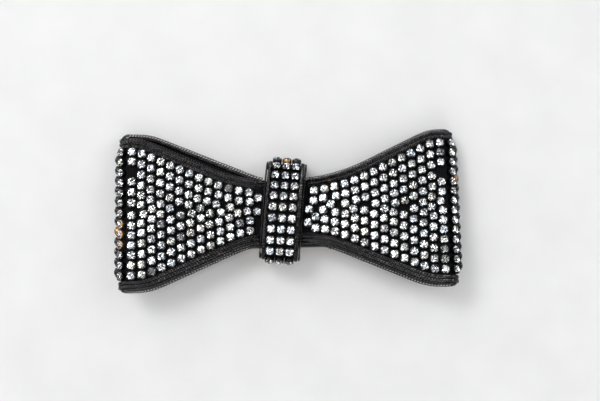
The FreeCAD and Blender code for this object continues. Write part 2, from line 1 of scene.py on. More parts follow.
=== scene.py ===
"""Looks of a crystal bow brooch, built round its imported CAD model.

The CAD model gives every size and place: where each crystal sits and which way it faces, the line
of each edge chain, the shape of the folded straps and of the knot. This script cuts the crystals,
forms the prong cups, links the chains, weaves the straps and sews on the patch.
"""

from __future__ import annotations

import json
import logging
import math
import random
from dataclasses import dataclass, field
from enum import Enum
from typing import Callable, Iterable

import bpy
import numpy as np
from mathutils import Matrix, Vector


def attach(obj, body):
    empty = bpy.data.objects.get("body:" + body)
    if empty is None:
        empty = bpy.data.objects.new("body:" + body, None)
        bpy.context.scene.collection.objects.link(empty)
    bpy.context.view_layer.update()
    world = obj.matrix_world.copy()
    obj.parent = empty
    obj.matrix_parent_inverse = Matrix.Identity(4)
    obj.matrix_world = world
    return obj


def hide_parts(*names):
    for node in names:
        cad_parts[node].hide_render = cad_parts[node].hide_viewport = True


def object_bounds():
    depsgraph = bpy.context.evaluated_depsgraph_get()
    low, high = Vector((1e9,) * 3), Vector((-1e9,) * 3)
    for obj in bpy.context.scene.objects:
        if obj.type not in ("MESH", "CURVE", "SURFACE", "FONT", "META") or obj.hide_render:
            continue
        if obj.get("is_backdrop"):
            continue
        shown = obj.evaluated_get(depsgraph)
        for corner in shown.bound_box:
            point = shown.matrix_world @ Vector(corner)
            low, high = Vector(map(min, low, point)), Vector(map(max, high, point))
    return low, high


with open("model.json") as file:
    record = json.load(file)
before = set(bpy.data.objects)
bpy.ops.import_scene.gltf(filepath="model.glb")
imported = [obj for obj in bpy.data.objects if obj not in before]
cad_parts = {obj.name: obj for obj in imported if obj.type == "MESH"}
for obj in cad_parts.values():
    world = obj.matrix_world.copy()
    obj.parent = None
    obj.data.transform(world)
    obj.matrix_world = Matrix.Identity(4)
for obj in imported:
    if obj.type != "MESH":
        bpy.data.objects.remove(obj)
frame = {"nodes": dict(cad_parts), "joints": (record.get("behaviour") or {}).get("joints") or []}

LOG = logging.getLogger("bow_brooch")
MM = 0.001
SHARP = 50.0
POINT_GRID = 0.0005 * MM
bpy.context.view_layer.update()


class Side(Enum):
    """The two wings, seen from the front."""

    LEFT = "left"
    RIGHT = "right"

    @property
    def sign(self) -> int:
        """Direction of the wing along the bow: 1 for the right one."""
        return 1 if self is Side.RIGHT else -1


# --------------------------------------------------------------------------- modelling helpers


def deselect() -> None:
    """Leaves object mode's selection empty."""
    for chosen in list(bpy.context.selected_objects):
        chosen.select_set(False)


def activate(*pieces: bpy.types.Object) -> None:
    """Makes pieces the only selected objects, and the first of them the active one.

    Args:
        pieces: the objects.
    """
    deselect()
    for piece in pieces:
        piece.select_set(True)
    bpy.context.view_layer.objects.active = pieces[0]


def started(name: str) -> bpy.types.Object:
    """Names the primitive that an operator has just added.

    Args:
        name: the name.

    Returns:
        The object.
    """
    piece = bpy.context.active_object
    piece.name = name
    piece.data.name = name
    return piece


def choose_faces(piece: bpy.types.Object, test: Callable[[Vector], bool]) -> None:
    """Selects a piece's faces in object mode.

    Args:
        piece: the mesh object.
        test: says from a face's centre whether it is chosen.
    """
    mesh = piece.data
    for group in (mesh.vertices, mesh.edges):
        group.foreach_set("select", np.zeros(len(group), bool))
    for face in mesh.polygons:
        face.select = test(face.center)


def finish_modifier(piece: bpy.types.Object, kind: str, **settings: object) -> None:
    """Adds a modifier and applies it.

    Args:
        piece: the mesh object.
        kind: the modifier's type.
        settings: the modifier's settings.
    """
    activate(piece)
    modifier = piece.modifiers.new(kind.title(), kind)
    for key, value in settings.items():
        setattr(modifier, key, value)
    bpy.ops.object.modifier_apply(modifier=modifier.name)


def round_edges(piece: bpy.types.Object, width: float, segments: int) -> None:
    """Rounds a piece's sharp edges.

    Args:
        piece: the mesh object.
        width: how far the rounding reaches.
        segments: how many faces it has.
    """
    finish_modifier(
        piece, "BEVEL", width=width, segments=segments, limit_method="ANGLE",
        angle_limit=math.radians(SHARP),
    )


def smooth(piece: bpy.types.Object, degrees: float) -> None:
    """Shades a piece smooth, apart from edges sharper than the angle."""
    activate(piece)
    bpy.ops.object.shade_smooth_by_angle(angle=math.radians(degrees))


def face_outwards(piece: bpy.types.Object) -> None:
    """Turns a piece's faces outwards.

    Args:
        piece: the mesh object, in object mode.
    """
    activate(piece)
    bpy.ops.object.mode_set(mode="EDIT")
    bpy.ops.mesh.select_all(action="SELECT")
    bpy.ops.mesh.normals_make_consistent(inside=False)
    bpy.ops.object.mode_set(mode="OBJECT")


def copies(
    pattern: bpy.types.Object, places: Iterable[Matrix], name: str, tones: Iterable[tuple[float, float]]
) -> bpy.types.Object:
    """Copies a pattern to many places and joins the copies into one piece.

    Args:
        pattern: the modelled shape, which stays as it is.
        places: a matrix for each copy.
        name: the piece's name.
        tones: for each copy, its tone from 0 to 1 and its wear from 0 to 1.

    Returns:
        The joined piece, with its place in its mesh.
    """
    made = []
    for place, (tone, wear) in zip(places, tones):
        mesh = pattern.data.copy()
        mesh.transform(place)
        for label, value in (("tone", tone), ("wear", wear)):
            layer = mesh.attributes.new(label, "FLOAT", "POINT")
            layer.data.foreach_set("value", np.full(len(mesh.vertices), value, np.float32))
        copy = bpy.data.objects.new(name, mesh)
        bpy.context.scene.collection.objects.link(copy)
        made.append(copy)
    activate(*made)
    bpy.ops.object.join()
    return started(name)


def discard(piece: bpy.types.Object) -> None:
    """Removes a pattern that has been copied."""
    bpy.data.objects.remove(piece, do_unlink=True)


# --------------------------------------------------------------------------- reading the CAD frame


def triangles(node: str) -> np.ndarray:
    """A CAD node's triangles.

    Args:
        node: the node's name.

    Returns:
        An array of three corners for each triangle.
    """
    mesh = frame["nodes"][node].data
    mesh.calc_loop_triangles()
    points = np.array([v.co for v in mesh.vertices], float)
    return points[np.array([t.vertices for t in mesh.loop_triangles])]


def basis(x: Vector, z: Vector, origin: Vector) -> Matrix:
    """A frame with its Z along z and its X as near to x as that allows.

    Args:
        x: about where its X points.
        z: where its Z points.
        origin: its origin.

    Returns:
        The frame's matrix.
    """
    z = z.normalized()
    y = z.cross(x).normalized()
    x = y.cross(z)
    return Matrix.Translation(origin) @ Matrix((x, y, z)).transposed().to_4x4()


@dataclass(frozen=True)
class Seat:
    """Where one crystal sits: the foot of its cup and the way that it faces."""

    foot: Vector
    out: Vector


class Bow:
    """The bow's own frame, read from the hinge axis and the straps.

    X runs along the bow, Y up it and Z out of its face, and Z = 0 is the outside of the back plies.
    """

    parting_share = 0.55

    def __init__(self) -> None:
        """Reads the frame, the folds and the height that parts back plies from front plies."""
        up = next(Vector(j["axis"]) for j in frame["joints"] if j["name"] == "pin_stem_hinge")
        along = Vector((1, 0, 0))
        self.turn = Matrix((along, up, along.cross(up))).transposed().to_4x4()
        flat = triangles("right_wing_strap") @ np.array(self.turn.to_3x3())
        rows = [self.turn.inverted() @ s.foot for s in seats("knot_middle_column_crystals")]
        middle = (min(r.y for r in rows) + max(r.y for r in rows)) / 2
        self.frame = self.turn @ Matrix.Translation((0, middle, flat[..., 2].min()))
        self.inverse = self.frame.inverted()
        self.fold_radius = (flat[..., 2].max() - flat[..., 2].min()) / 2
        self.fold_centre = flat[..., 0].max() - self.fold_radius
        self.parting = self.parting_share * self.fold_radius

    def flat(self, node: str) -> np.ndarray:
        """A CAD node's triangles in the bow's frame."""
        inverse = np.array(self.inverse)
        return triangles(node) @ inverse[:3, :3].T + inverse[:3, 3]

    def place(self, piece: bpy.types.Object) -> bpy.types.Object:
        """Moves a mesh that was modelled in the bow's frame to where the bow lies."""
        piece.data.transform(self.frame)
        return piece


def seats(node: str) -> list[Seat]:
    """Seats of a node of crystals, from each crystal's point and the plane of its girdle.

    Args:
        node: a CAD node of crystals.

    Returns:
        The seats, from the bow's lower edge upwards.
    """
    corners = np.round(triangles(node) / POINT_GRID).astype(np.int64)
    keys, index = np.unique(corners.reshape(-1, 3), axis=0, return_inverse=True)
    index = index.reshape(-1, 3)
    group = np.arange(len(keys))
    while True:
        lowest = group[index].min(axis=1)
        new = group.copy()
        for k in range(3):
            np.minimum.at(new, index[:, k], lowest)
        new = new[new]
        if (new == group).all():
            break
        group = new
    found = []
    for label in np.unique(group):
        points = keys[group == label] * POINT_GRID
        centre = points.mean(axis=0)
        axis = Vector(np.linalg.eigh(np.cov((points - centre).T))[1][:, 0])
        reach = (points - centre) @ np.array(axis)
        tip = reach[np.abs(reach).argmax()]
        out = axis if tip < 0 else -axis
        point = Vector(points[np.abs(reach).argmax()])
        found.append(Seat(point - out * CrystalCut.tip, out))
    return sorted(found, key=lambda s: (round(s.foot.y, 5), round(s.foot.x, 5)))


def crossings(corners: np.ndarray, point: Vector, normal: Vector) -> np.ndarray:
    """Points where triangles' edges cross a plane.

    Args:
        corners: triangles, as three corners each.
        point: a point of the plane.
        normal: the plane's normal.

    Returns:
        The crossing points, one row each.
    """
    heights = (corners - np.array(point)) @ np.array(normal)
    found = []
    for a, b in ((0, 1), (1, 2), (2, 0)):
        ha, hb = heights[:, a], heights[:, b]
        cut = (ha <= 0) != (hb <= 0)
        share = (ha[cut] / (ha[cut] - hb[cut]))[:, None]
        found.append(corners[cut, a] + share * (corners[cut, b] - corners[cut, a]))
    return np.concatenate(found)


@dataclass(frozen=True)
class Station:
    """A cross-section of a strip: its middle, its half width and height, and its way out."""

    centre: Vector
    out: Vector
    half_width: float
    half_height: float


def station(points: np.ndarray, across: Vector, out: Vector) -> Station:
    """The station of a strip at one of its sections.

    Args:
        points: the section's points.
        across: the way across the strip.
        out: the way out of it.

    Returns:
        The station.
    """
    wide, high = points @ np.array(across), points @ np.array(out)
    along = across.cross(out)
    centre = (
        across * ((wide.min() + wide.max()) / 2)
        + out * ((high.min() + high.max()) / 2)
        + along * float((points @ np.array(along)).mean())
    )
    return Station(centre, out, (wide.max() - wide.min()) / 2, (high.max() - high.min()) / 2)


def wing_stations(bow: Bow, node: str, side: Side, step: float) -> list[Station]:
    """Stations of a strip that runs out along the front ply, over the fold and back.

    Args:
        bow: the bow's frame.
        node: the CAD node of a strap or an edge chain.
        side: the wing that it is on.
        step: distance between stations along the plies.

    Returns:
        The stations in the bow's frame, front ply first.
    """
    corners = bow.flat(node)
    across = Vector((0, 1, 0))
    reach = np.abs(corners[..., 0])
    radius, centre = bow.fold_radius, bow.fold_centre
    found: list[Station] = []
    for front in (True, False):
        part = corners[..., 2] > bow.parting if front else corners[..., 2] < bow.parting
        near = reach[part].min() + 0.01 * MM
        stops = np.linspace(near, centre, max(3, int((centre - near) / step)))
        for u in stops if front else stops[::-1]:
            x = Vector((side.sign * u, 0, 0))
            points = crossings(corners, x, Vector((1, 0, 0)))
            points = points[(points[:, 2] > bow.parting) == front]
            found.append(station(points, across, Vector((0, 0, 1 if front else -1))))
        if front:
            axis = Vector((side.sign * centre, 0, radius))
            turns = int(math.pi * radius / step)
            for k in range(1, turns):
                a = math.pi * k / turns
                out = Vector((side.sign * math.sin(a), 0, math.cos(a)))
                points = crossings(corners, axis, across.cross(out))
                points = points[(points - np.array(axis)) @ np.array(out) > radius / 4]
                found.append(station(points, across, out))
    return level(found, side)


def level(stations: list[Station], side: Side) -> list[Station]:
    """Turns stations square to the line that they make, and evens them out a little.

    Args:
        stations: the stations, in the bow's frame.
        side: the wing that they are on.

    Returns:
        The new stations.
    """
    along = Vector((0, 1, 0))
    last = len(stations) - 1
    widths = np.array([(s.centre.y, s.half_width) for s in stations])
    padded = np.pad(widths, ((2, 2), (0, 0)), mode="edge")
    even = sum(padded[k : k + len(widths)] for k in range(5)) / 5
    made = []
    for k, s in enumerate(stations):
        a, b = stations[max(0, k - 1)].centre, stations[min(last, k + 1)].centre
        run = Vector((b.x - a.x, 0, b.z - a.z))
        out = along.cross(run).normalized() * -side.sign
        out = out if out.dot(s.out) > 0 else -out
        middle = Vector((s.centre.x, even[k][0], s.centre.z))
        made.append(Station(middle, out, float(even[k][1]), s.half_height))
    return made


# --------------------------------------------------------------------------- finishes


COLOUR = "NodeSocketColor"
NUMBER = "NodeSocketFloat"


def feed(tree: bpy.types.NodeTree, node: bpy.types.Node, inputs: dict[str | int, object]) -> None:
    """Fills a shader node's sockets.

    Args:
        tree: the tree that the node is in.
        node: the node.
        inputs: for each socket, by name or place, a value or the socket that feeds it.
    """
    for key, value in inputs.items():
        if isinstance(value, bpy.types.NodeSocket):
            tree.links.new(value, node.inputs[key])
        else:
            node.inputs[key].default_value = value


def add_node(
    tree: bpy.types.NodeTree, kind: str, inputs: dict[str | int, object] | None = None,
    **settings: object,
) -> bpy.types.Node:
    """Adds a shader node, sets it up and fills its sockets.

    Args:
        tree: the material's, group's or world's node tree.
        kind: the node's type.
        inputs: for each socket, by name or place, a value or the socket that feeds it.
        settings: the node's own settings, made before its sockets are filled.

    Returns:
        The node.
    """
    node = tree.nodes.new(kind)
    for key, value in settings.items():
        setattr(node, key, value)
    feed(tree, node, inputs or {})
    return node


def maths(tree: bpy.types.NodeTree, operation: str, *values: object) -> bpy.types.NodeSocket:
    """The result of a sum on values or sockets."""
    return add_node(tree, "ShaderNodeMath", dict(enumerate(values)), operation=operation).outputs[0]


def mixed(
    tree: bpy.types.NodeTree, share: bpy.types.NodeSocket, first: object, second: object
) -> bpy.types.NodeSocket:
    """The first colour, turning into the second as the share grows."""
    inputs = {"Factor": share, "A": first, "B": second}
    return add_node(tree, "ShaderNodeMix", inputs, data_type="RGBA").outputs["Result"]


def spread(
    tree: bpy.types.NodeTree, value: bpy.types.NodeSocket, low: float, high: float
) -> bpy.types.NodeSocket:
    """A value spread to run from 0 at the low end to 1 at the high end."""
    inputs = {"Value": value, "From Min": low, "From Max": high}
    return add_node(tree, "ShaderNodeMapRange", inputs).outputs["Result"]


class Effects:
    """Shader node groups that several finishes share."""

    tarnish_detail = 4.0
    tarnish_ends = (0.35, 0.7)
    tarnish_dulling = 0.28
    rub_detail = 3.0
    rub_ends = (0.85, 1.15)
    thread_relief = 0.35
    grain_detail = 5.0

    def __init__(self) -> None:
        """Builds each group once."""
        self.tarnish = self._tarnish()
        self.rub = self._rub()
        self.weave_and_rib_shade = self._weave_and_rib_shade()
        self.grain = self._grain()

    @staticmethod
    def _group(
        name: str, inputs: dict[str, tuple[str, object]], outputs: dict[str, str]
    ) -> tuple[bpy.types.NodeTree, bpy.types.Node, bpy.types.Node]:
        """Starts a node group with its sockets.

        Args:
            name: the group's name.
            inputs: for each input, its type and usual value.
            outputs: for each output, its type.

        Returns:
            The group, its input node and its output node.
        """
        tree = bpy.data.node_groups.new(name, "ShaderNodeTree")
        for label, (kind, value) in inputs.items():
            socket = tree.interface.new_socket(label, in_out="INPUT", socket_type=kind)
            socket.default_value = value
        for label, kind in outputs.items():
            tree.interface.new_socket(label, in_out="OUTPUT", socket_type=kind)
        return tree, tree.nodes.new("NodeGroupInput"), tree.nodes.new("NodeGroupOutput")

    def _tarnish(self) -> bpy.types.NodeTree:
        """Cloudy tarnish: darkens a colour and dulls it where it is thick.

        Returns:
            The node group.
        """
        tree, start, end = self._group(
            "Tarnish",
            {
                "Clean": (COLOUR, (0.5, 0.5, 0.5, 1)),
                "Dull": (COLOUR, (0.1, 0.1, 0.1, 1)),
                "Scale": (NUMBER, 900.0),
                "Amount": (NUMBER, 0.5),
                "Polish": (NUMBER, 0.2),
            },
            {"Color": COLOUR, "Roughness": NUMBER},
        )
        given = start.outputs
        place = add_node(tree, "ShaderNodeTexCoord").outputs["Object"]
        cloud = add_node(
            tree, "ShaderNodeTexNoise",
            {"Vector": place, "Scale": given["Scale"], "Detail": self.tarnish_detail},
        )
        thick = spread(tree, cloud.outputs["Fac"], *self.tarnish_ends)
        share = maths(tree, "MULTIPLY", thick, given["Amount"])
        rough = maths(tree, "MULTIPLY_ADD", share, self.tarnish_dulling, given["Polish"])
        feed(tree, end, {"Color": mixed(tree, share, given["Clean"], given["Dull"]), "Roughness": rough})
        return tree

    def _rub(self) -> bpy.types.NodeTree:
        """Plating rubbed through to the metal below, where a piece's wear is high.

        Returns:
            The node group.
        """
        tree, start, end = self._group(
            "Rubbed plating",
            {
                "Plating": (COLOUR, (0.1, 0.1, 0.1, 1)),
                "Bare": (COLOUR, (0.5, 0.3, 0.15, 1)),
                "Wear": (NUMBER, 0.0),
                "Scale": (NUMBER, 1400.0),
            },
            {"Color": COLOUR},
        )
        given = start.outputs
        place = add_node(tree, "ShaderNodeTexCoord").outputs["Object"]
        spots = add_node(
            tree, "ShaderNodeTexNoise",
            {"Vector": place, "Scale": given["Scale"], "Detail": self.rub_detail},
        )
        rubbed = maths(tree, "ADD", spots.outputs["Fac"], given["Wear"])
        share = spread(tree, rubbed, *self.rub_ends)
        feed(tree, end, {"Color": mixed(tree, share, given["Plating"], given["Bare"])})
        return tree

    def _weave_and_rib_shade(self) -> bpy.types.NodeTree:
        """Ribbed cloth on a piece's UV map: ribs across it and fine threads over them, with painted shade
        in the valleys and a painted highlight on the crests.

        Returns:
            The node group.
        """
        tree, start, end = self._group(
            "Ribbed weave",
            {
                "Ribs": (NUMBER, 100.0),
                "Threads": (NUMBER, 60.0),
                # Painted shade in the rib valleys (Dark) and painted highlight on the rib crests (Light).
                "Dark": (COLOUR, (0.01, 0.01, 0.01, 1)),
                "Light": (COLOUR, (0.05, 0.05, 0.05, 1)),
            },
            {"Color": COLOUR, "Height": NUMBER},
        )
        given = start.outputs
        place = add_node(tree, "ShaderNodeUVMap").outputs["UV"]
        along = add_node(tree, "ShaderNodeSeparateXYZ", {"Vector": place}).outputs
        waves = []
        for axis, count in (("X", "Ribs"), ("Y", "Threads")):
            turns = maths(tree, "MULTIPLY", along[axis], given[count])
            waves.append(maths(tree, "SINE", maths(tree, "MULTIPLY", turns, 2 * math.pi)))
        rib, thread = waves
        relief = maths(tree, "MULTIPLY_ADD", thread, self.thread_relief, rib)
        height = spread(tree, relief, -1 - self.thread_relief, 1 + self.thread_relief)
        # The colour follows the relief height: painted shade where it is low, painted highlight where it
        # is high.
        feed(tree, end, {"Color": mixed(tree, height, given["Dark"], given["Light"]), "Height": height})
        return tree

    def _grain(self) -> bpy.types.NodeTree:
        """Hide grain or felt nap: cells with softer mottling over them.

        Returns:
            The node group.
        """
        tree, start, end = self._group(
            "Grain",
            {
                "Scale": (NUMBER, 1500.0),
                "Dark": (COLOUR, (0.01, 0.01, 0.01, 1)),
                "Light": (COLOUR, (0.05, 0.05, 0.05, 1)),
            },
            {"Color": COLOUR, "Height": NUMBER},
        )
        given = start.outputs
        place = add_node(tree, "ShaderNodeTexCoord").outputs["Object"]
        where = {"Vector": place, "Scale": given["Scale"]}
        cells = add_node(tree, "ShaderNodeTexVoronoi", where)
        mottle = add_node(tree, "ShaderNodeTexNoise", {**where, "Detail": self.grain_detail})
        nap = maths(tree, "MULTIPLY", cells.outputs["Distance"], mottle.outputs["Fac"])
        feed(tree, end, {"Color": mixed(tree, nap, given["Dark"], given["Light"]), "Height": nap})
        return tree


class Finish:
    """A material with one Principled shader, and short ways to add nodes to it."""

    def __init__(self, name: str, **values: object) -> None:
        """Starts the material.

        Args:
            name: the material's name.
            values: the shader's own settings, with underscores for the spaces.
        """
        self.material = bpy.data.materials.new(name)
        self.material.use_nodes = True
        self.tree = self.material.node_tree
        self.tree.nodes.clear()
        plain = {label.replace("_", " "): value for label, value in values.items()}
        self.shader = add_node(self.tree, "ShaderNodeBsdfPrincipled", plain)
        add_node(self.tree, "ShaderNodeOutputMaterial", {"Surface": self.shader.outputs["BSDF"]})

    def feed(self, inputs: dict[str, bpy.types.NodeSocket]) -> None:
        """Feeds sockets of the shader."""
        feed(self.tree, self.shader, inputs)

    def effect(self, group: bpy.types.NodeTree, **values: object) -> bpy.types.Node:
        """Places a shared effect with its own values."""
        return add_node(self.tree, "ShaderNodeGroup", values, node_tree=group)

    def mark(self, name: str) -> bpy.types.NodeSocket:
        """The value that a piece's parts carry under a name."""
        return add_node(self.tree, "ShaderNodeAttribute", attribute_name=name).outputs["Fac"]

    def ramp(self, source: bpy.types.NodeSocket, stops: list[tuple[float, tuple]]) -> bpy.types.NodeSocket:
        """Colours picked by a value.

        Args:
            source: the value.
            stops: places from 0 to 1 with their colours.

        Returns:
            The colour's socket.
        """
        node = add_node(self.tree, "ShaderNodeValToRGB", {"Fac": source})
        ramp = node.color_ramp
        while len(ramp.elements) < len(stops):
            ramp.elements.new(0.5)
        for element, (at, colour) in zip(ramp.elements, stops):
            element.position = at
            element.color = (*colour, 1)
        return node.outputs["Color"]

    def bump(self, height: bpy.types.NodeSocket, strength: float, depth: float) -> None:
        """Raises the surface by a height, through a Bump node."""
        inputs = {"Height": height, "Strength": strength, "Distance": depth}
        self.feed({"Normal": add_node(self.tree, "ShaderNodeBump", inputs).outputs["Normal"]})


@dataclass(frozen=True)
class Glass:
    """Clear cut glass, each crystal with its own slight cast."""

    roughness: float = 0.0
    ior: float = 1.58

    def make(self) -> bpy.types.Material:
        """Builds the material.

        Returns:
            The material.
        """
        finish = Finish(
            "crystal_glass", Roughness=self.roughness, IOR=self.ior, Transmission_Weight=1.0
        )
        cast = finish.ramp(
            finish.mark("tone"),
            [
                (0.0, (0.86, 0.93, 1.0)),
                (0.25, (1.0, 1.0, 1.0)),
                (0.65, (0.96, 1.0, 0.97)),
                (0.85, (1.0, 0.98, 0.90)),
                (1.0, (0.88, 0.88, 0.93)),
            ],
        )
        finish.feed({"Base Color": cast})
        return finish.material


@dataclass(frozen=True)
class Foil:
    """The silver foil behind a crystal, bright on most and greyed on some."""

    dull: tuple = (0.35, 0.34, 0.32, 1)
    tarnish: float = 0.2
    tarnish_scale: float = 1300.0
    polish: float = 0.025

    def make(self, effects: Effects) -> bpy.types.Material:
        """Builds the material.

        Args:
            effects: the shared effects.

        Returns:
            The material.
        """
        finish = Finish("crystal_foil", Metallic=1.0)
        bright = finish.ramp(
            finish.mark("wear"),
            [(0.0, (0.97, 0.98, 1.0)), (0.6, (0.9, 0.91, 0.92)), (1.0, (0.42, 0.42, 0.43))],
        )
        cloud = finish.effect(
            effects.tarnish, Clean=bright, Dull=self.dull,
            Scale=self.tarnish_scale, Amount=self.tarnish, Polish=self.polish,
        )
        finish.feed({"Base Color": cloud.outputs["Color"], "Roughness": cloud.outputs["Roughness"]})
        return finish.material


@dataclass(frozen=True)
class Gunmetal:
    """Dark plating over brass: cloudy, and rubbed through to warm metal here and there."""

    name: str
    clean: tuple = (0.055, 0.053, 0.055, 1)
    dull: tuple = (0.008, 0.0075, 0.008, 1)
    bare: tuple = (0.45, 0.26, 0.12, 1)
    tarnish: float = 0.85
    polish: float = 0.24
    scale: float = 900.0

    def make(self, effects: Effects) -> bpy.types.Material:
        """Builds the material.

        Args:
            effects: the shared effects.

        Returns:
            The material.
        """
        finish = Finish(self.name, Metallic=1.0)
        cloud = finish.effect(
            effects.tarnish, Clean=self.clean, Dull=self.dull,
            Scale=self.scale, Amount=self.tarnish, Polish=self.polish,
        )
        rub = finish.effect(
            effects.rub, Plating=cloud.outputs["Color"], Bare=self.bare, Wear=finish.mark("wear")
        )
        finish.feed({"Base Color": rub.outputs["Color"], "Roughness": cloud.outputs["Roughness"]})
        return finish.material


@dataclass(frozen=True)
class PinBrass:
    """Satin brass of the pin finding, lightly tarnished, with fine scratches."""

    name: str = "pin_brass"
    clean: tuple = (0.72, 0.53, 0.24, 1)
    dull: tuple = (0.3, 0.19, 0.08, 1)
    tarnish: float = 0.7
    tarnish_scale: float = 500.0
    polish: float = 0.2
    scratch_scale: float = 2500.0
    scratch_stretch: tuple = (0.06, 1.0, 1.0)
    scratch_depth: float = 0.02 * MM

    def make(self, effects: Effects) -> bpy.types.Material:
        """Builds the material.

        Args:
            effects: the shared effects.

        Returns:
            The material.
        """
        finish = Finish(self.name, Metallic=1.0)
        cloud = finish.effect(
            effects.tarnish, Clean=self.clean, Dull=self.dull,
            Scale=self.tarnish_scale, Amount=self.tarnish, Polish=self.polish,
        )
        place = add_node(finish.tree, "ShaderNodeTexCoord").outputs["Object"]
        drawn = add_node(
            finish.tree, "ShaderNodeMapping", {"Vector": place, "Scale": self.scratch_stretch}
        )
        scratch = add_node(
            finish.tree, "ShaderNodeTexNoise",
            {"Vector": drawn.outputs["Vector"], "Scale": self.scratch_scale},
        )
        finish.feed({"Base Color": cloud.outputs["Color"], "Roughness": cloud.outputs["Roughness"]})
        finish.bump(scratch.outputs["Fac"], 0.25, self.scratch_depth)
        return finish.material


@dataclass(frozen=True)
class RibbedCloth:
    """Black ribbed cloth of a strap, on its UV map, with painted shade in the rib valleys and a painted
    highlight on the rib crests.
    """

    name: str
    ribs: float
    threads: float
    # dark is painted shade in the rib valleys, light is a painted highlight on the rib crests.
    dark: tuple = (0.0015, 0.0015, 0.002, 1)
    light: tuple = (0.010, 0.0095, 0.011, 1)
    depth: float = 0.08 * MM

    def make(self, effects: Effects) -> bpy.types.Material:
        """Builds the material.

        Args:
            effects: the shared effects.

        Returns:
            The material.
        """
        finish = Finish(self.name, Roughness=0.9, Specular_IOR_Level=0.12, Sheen_Weight=0.03)
        cloth = finish.effect(
            effects.weave_and_rib_shade, Ribs=self.ribs, Threads=self.threads, Dark=self.dark, Light=self.light
        )
        # The base colour carries the painted rib shade and painted highlight.
        finish.feed({"Base Color": cloth.outputs["Color"]})
        finish.bump(cloth.outputs["Height"], 0.7, self.depth)
        return finish.material


@dataclass(frozen=True)
class Napped:
    """Suede or felt: a mottled nap with a soft sheen."""

    name: str
    scale: float
    dark: tuple
    light: tuple
    depth: float = 0.05 * MM

    def make(self, effects: Effects) -> bpy.types.Material:
        """Builds the material.

        Args:
            effects: the shared effects.

        Returns:
            The material.
        """
        finish = Finish(self.name, Roughness=0.9, Sheen_Weight=0.45, Sheen_Roughness=0.4)
        nap = finish.effect(effects.grain, Scale=self.scale, Dark=self.dark, Light=self.light)
        finish.feed({"Base Color": nap.outputs["Color"]})
        finish.bump(nap.outputs["Height"], 0.6, self.depth)
        return finish.material


@dataclass(frozen=True)
class Thread:
    """Waxed sewing thread, with the twist of its plies along each stitch, coloured with painted shade in
    its hollows and a painted highlight on its crowns.
    """

    name: str = "sewing_thread"
    # Painted shade: the thread's colour in the hollows of its twist.
    hollow_shade: tuple = (0.012, 0.012, 0.0128, 1)
    # Painted highlight: the thread's colour on the crowns of its twist.
    crown: tuple = (0.066, 0.066, 0.0704, 1)
    twist: float = 3500.0
    depth: float = 0.03 * MM

    def make(self, effects: Effects) -> bpy.types.Material:
        """Builds the material.

        Args:
            effects: the shared effects.

        Returns:
            The material.
        """
        finish = Finish(self.name, Roughness=0.6, Sheen_Weight=0.3)
        # The grain mottle spreads the painted shade and painted highlight over the thread.
        shade = finish.effect(effects.grain, Scale=self.twist, Dark=self.hollow_shade, Light=self.crown)
        finish.feed({"Base Color": shade.outputs["Color"]})
        finish.bump(shade.outputs["Height"], 0.5, self.depth)
        return finish.material


class Finishes:
    """Every finish of the brooch, made once."""

    def __init__(self) -> None:
        """Makes the finishes."""
        effects = Effects()
        self.glass = Glass().make()
        self.foil = Foil().make(effects)
        self.cup = Gunmetal("stone_cup_gunmetal", polish=0.22).make(effects)
        self.chain = Gunmetal(
            "edge_chain_gunmetal", clean=(0.125, 0.123, 0.127, 1), polish=0.08, scale=1200.0
        ).make(effects)
        self.strap = RibbedCloth("strap_cloth", ribs=130.0, threads=90.0).make(effects)
        self.band = RibbedCloth("band_cloth", ribs=110.0, threads=24.0).make(effects)
        self.suede = Napped(
            "backing_suede", 1600.0, (0.008, 0.008, 0.009, 1), (0.075, 0.07, 0.07, 1)
        ).make(effects)
        self.felt = Napped(
            "padding_felt", 2600.0, (0.02, 0.02, 0.022, 1), (0.12, 0.12, 0.125, 1)
        ).make(effects)
        self.thread = Thread().make(effects)
        self.brass = PinBrass().make(effects)


def dress(piece: bpy.types.Object, body: str, slot: str, *replaced: str) -> None:
    """Puts a finished piece on its body and reports it.

    Args:
        piece: the finished piece.
        body: the body that it rides on.
        slot: its finish slot; not used.
        replaced: the CAD nodes that it stands for.
    """
    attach(piece, body)
    if replaced:
        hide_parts(*replaced)
    LOG.info("%s: %d faces, on %s", piece.name, len(piece.data.polygons), body)


# --------------------------------------------------------------------------- crystals and cups


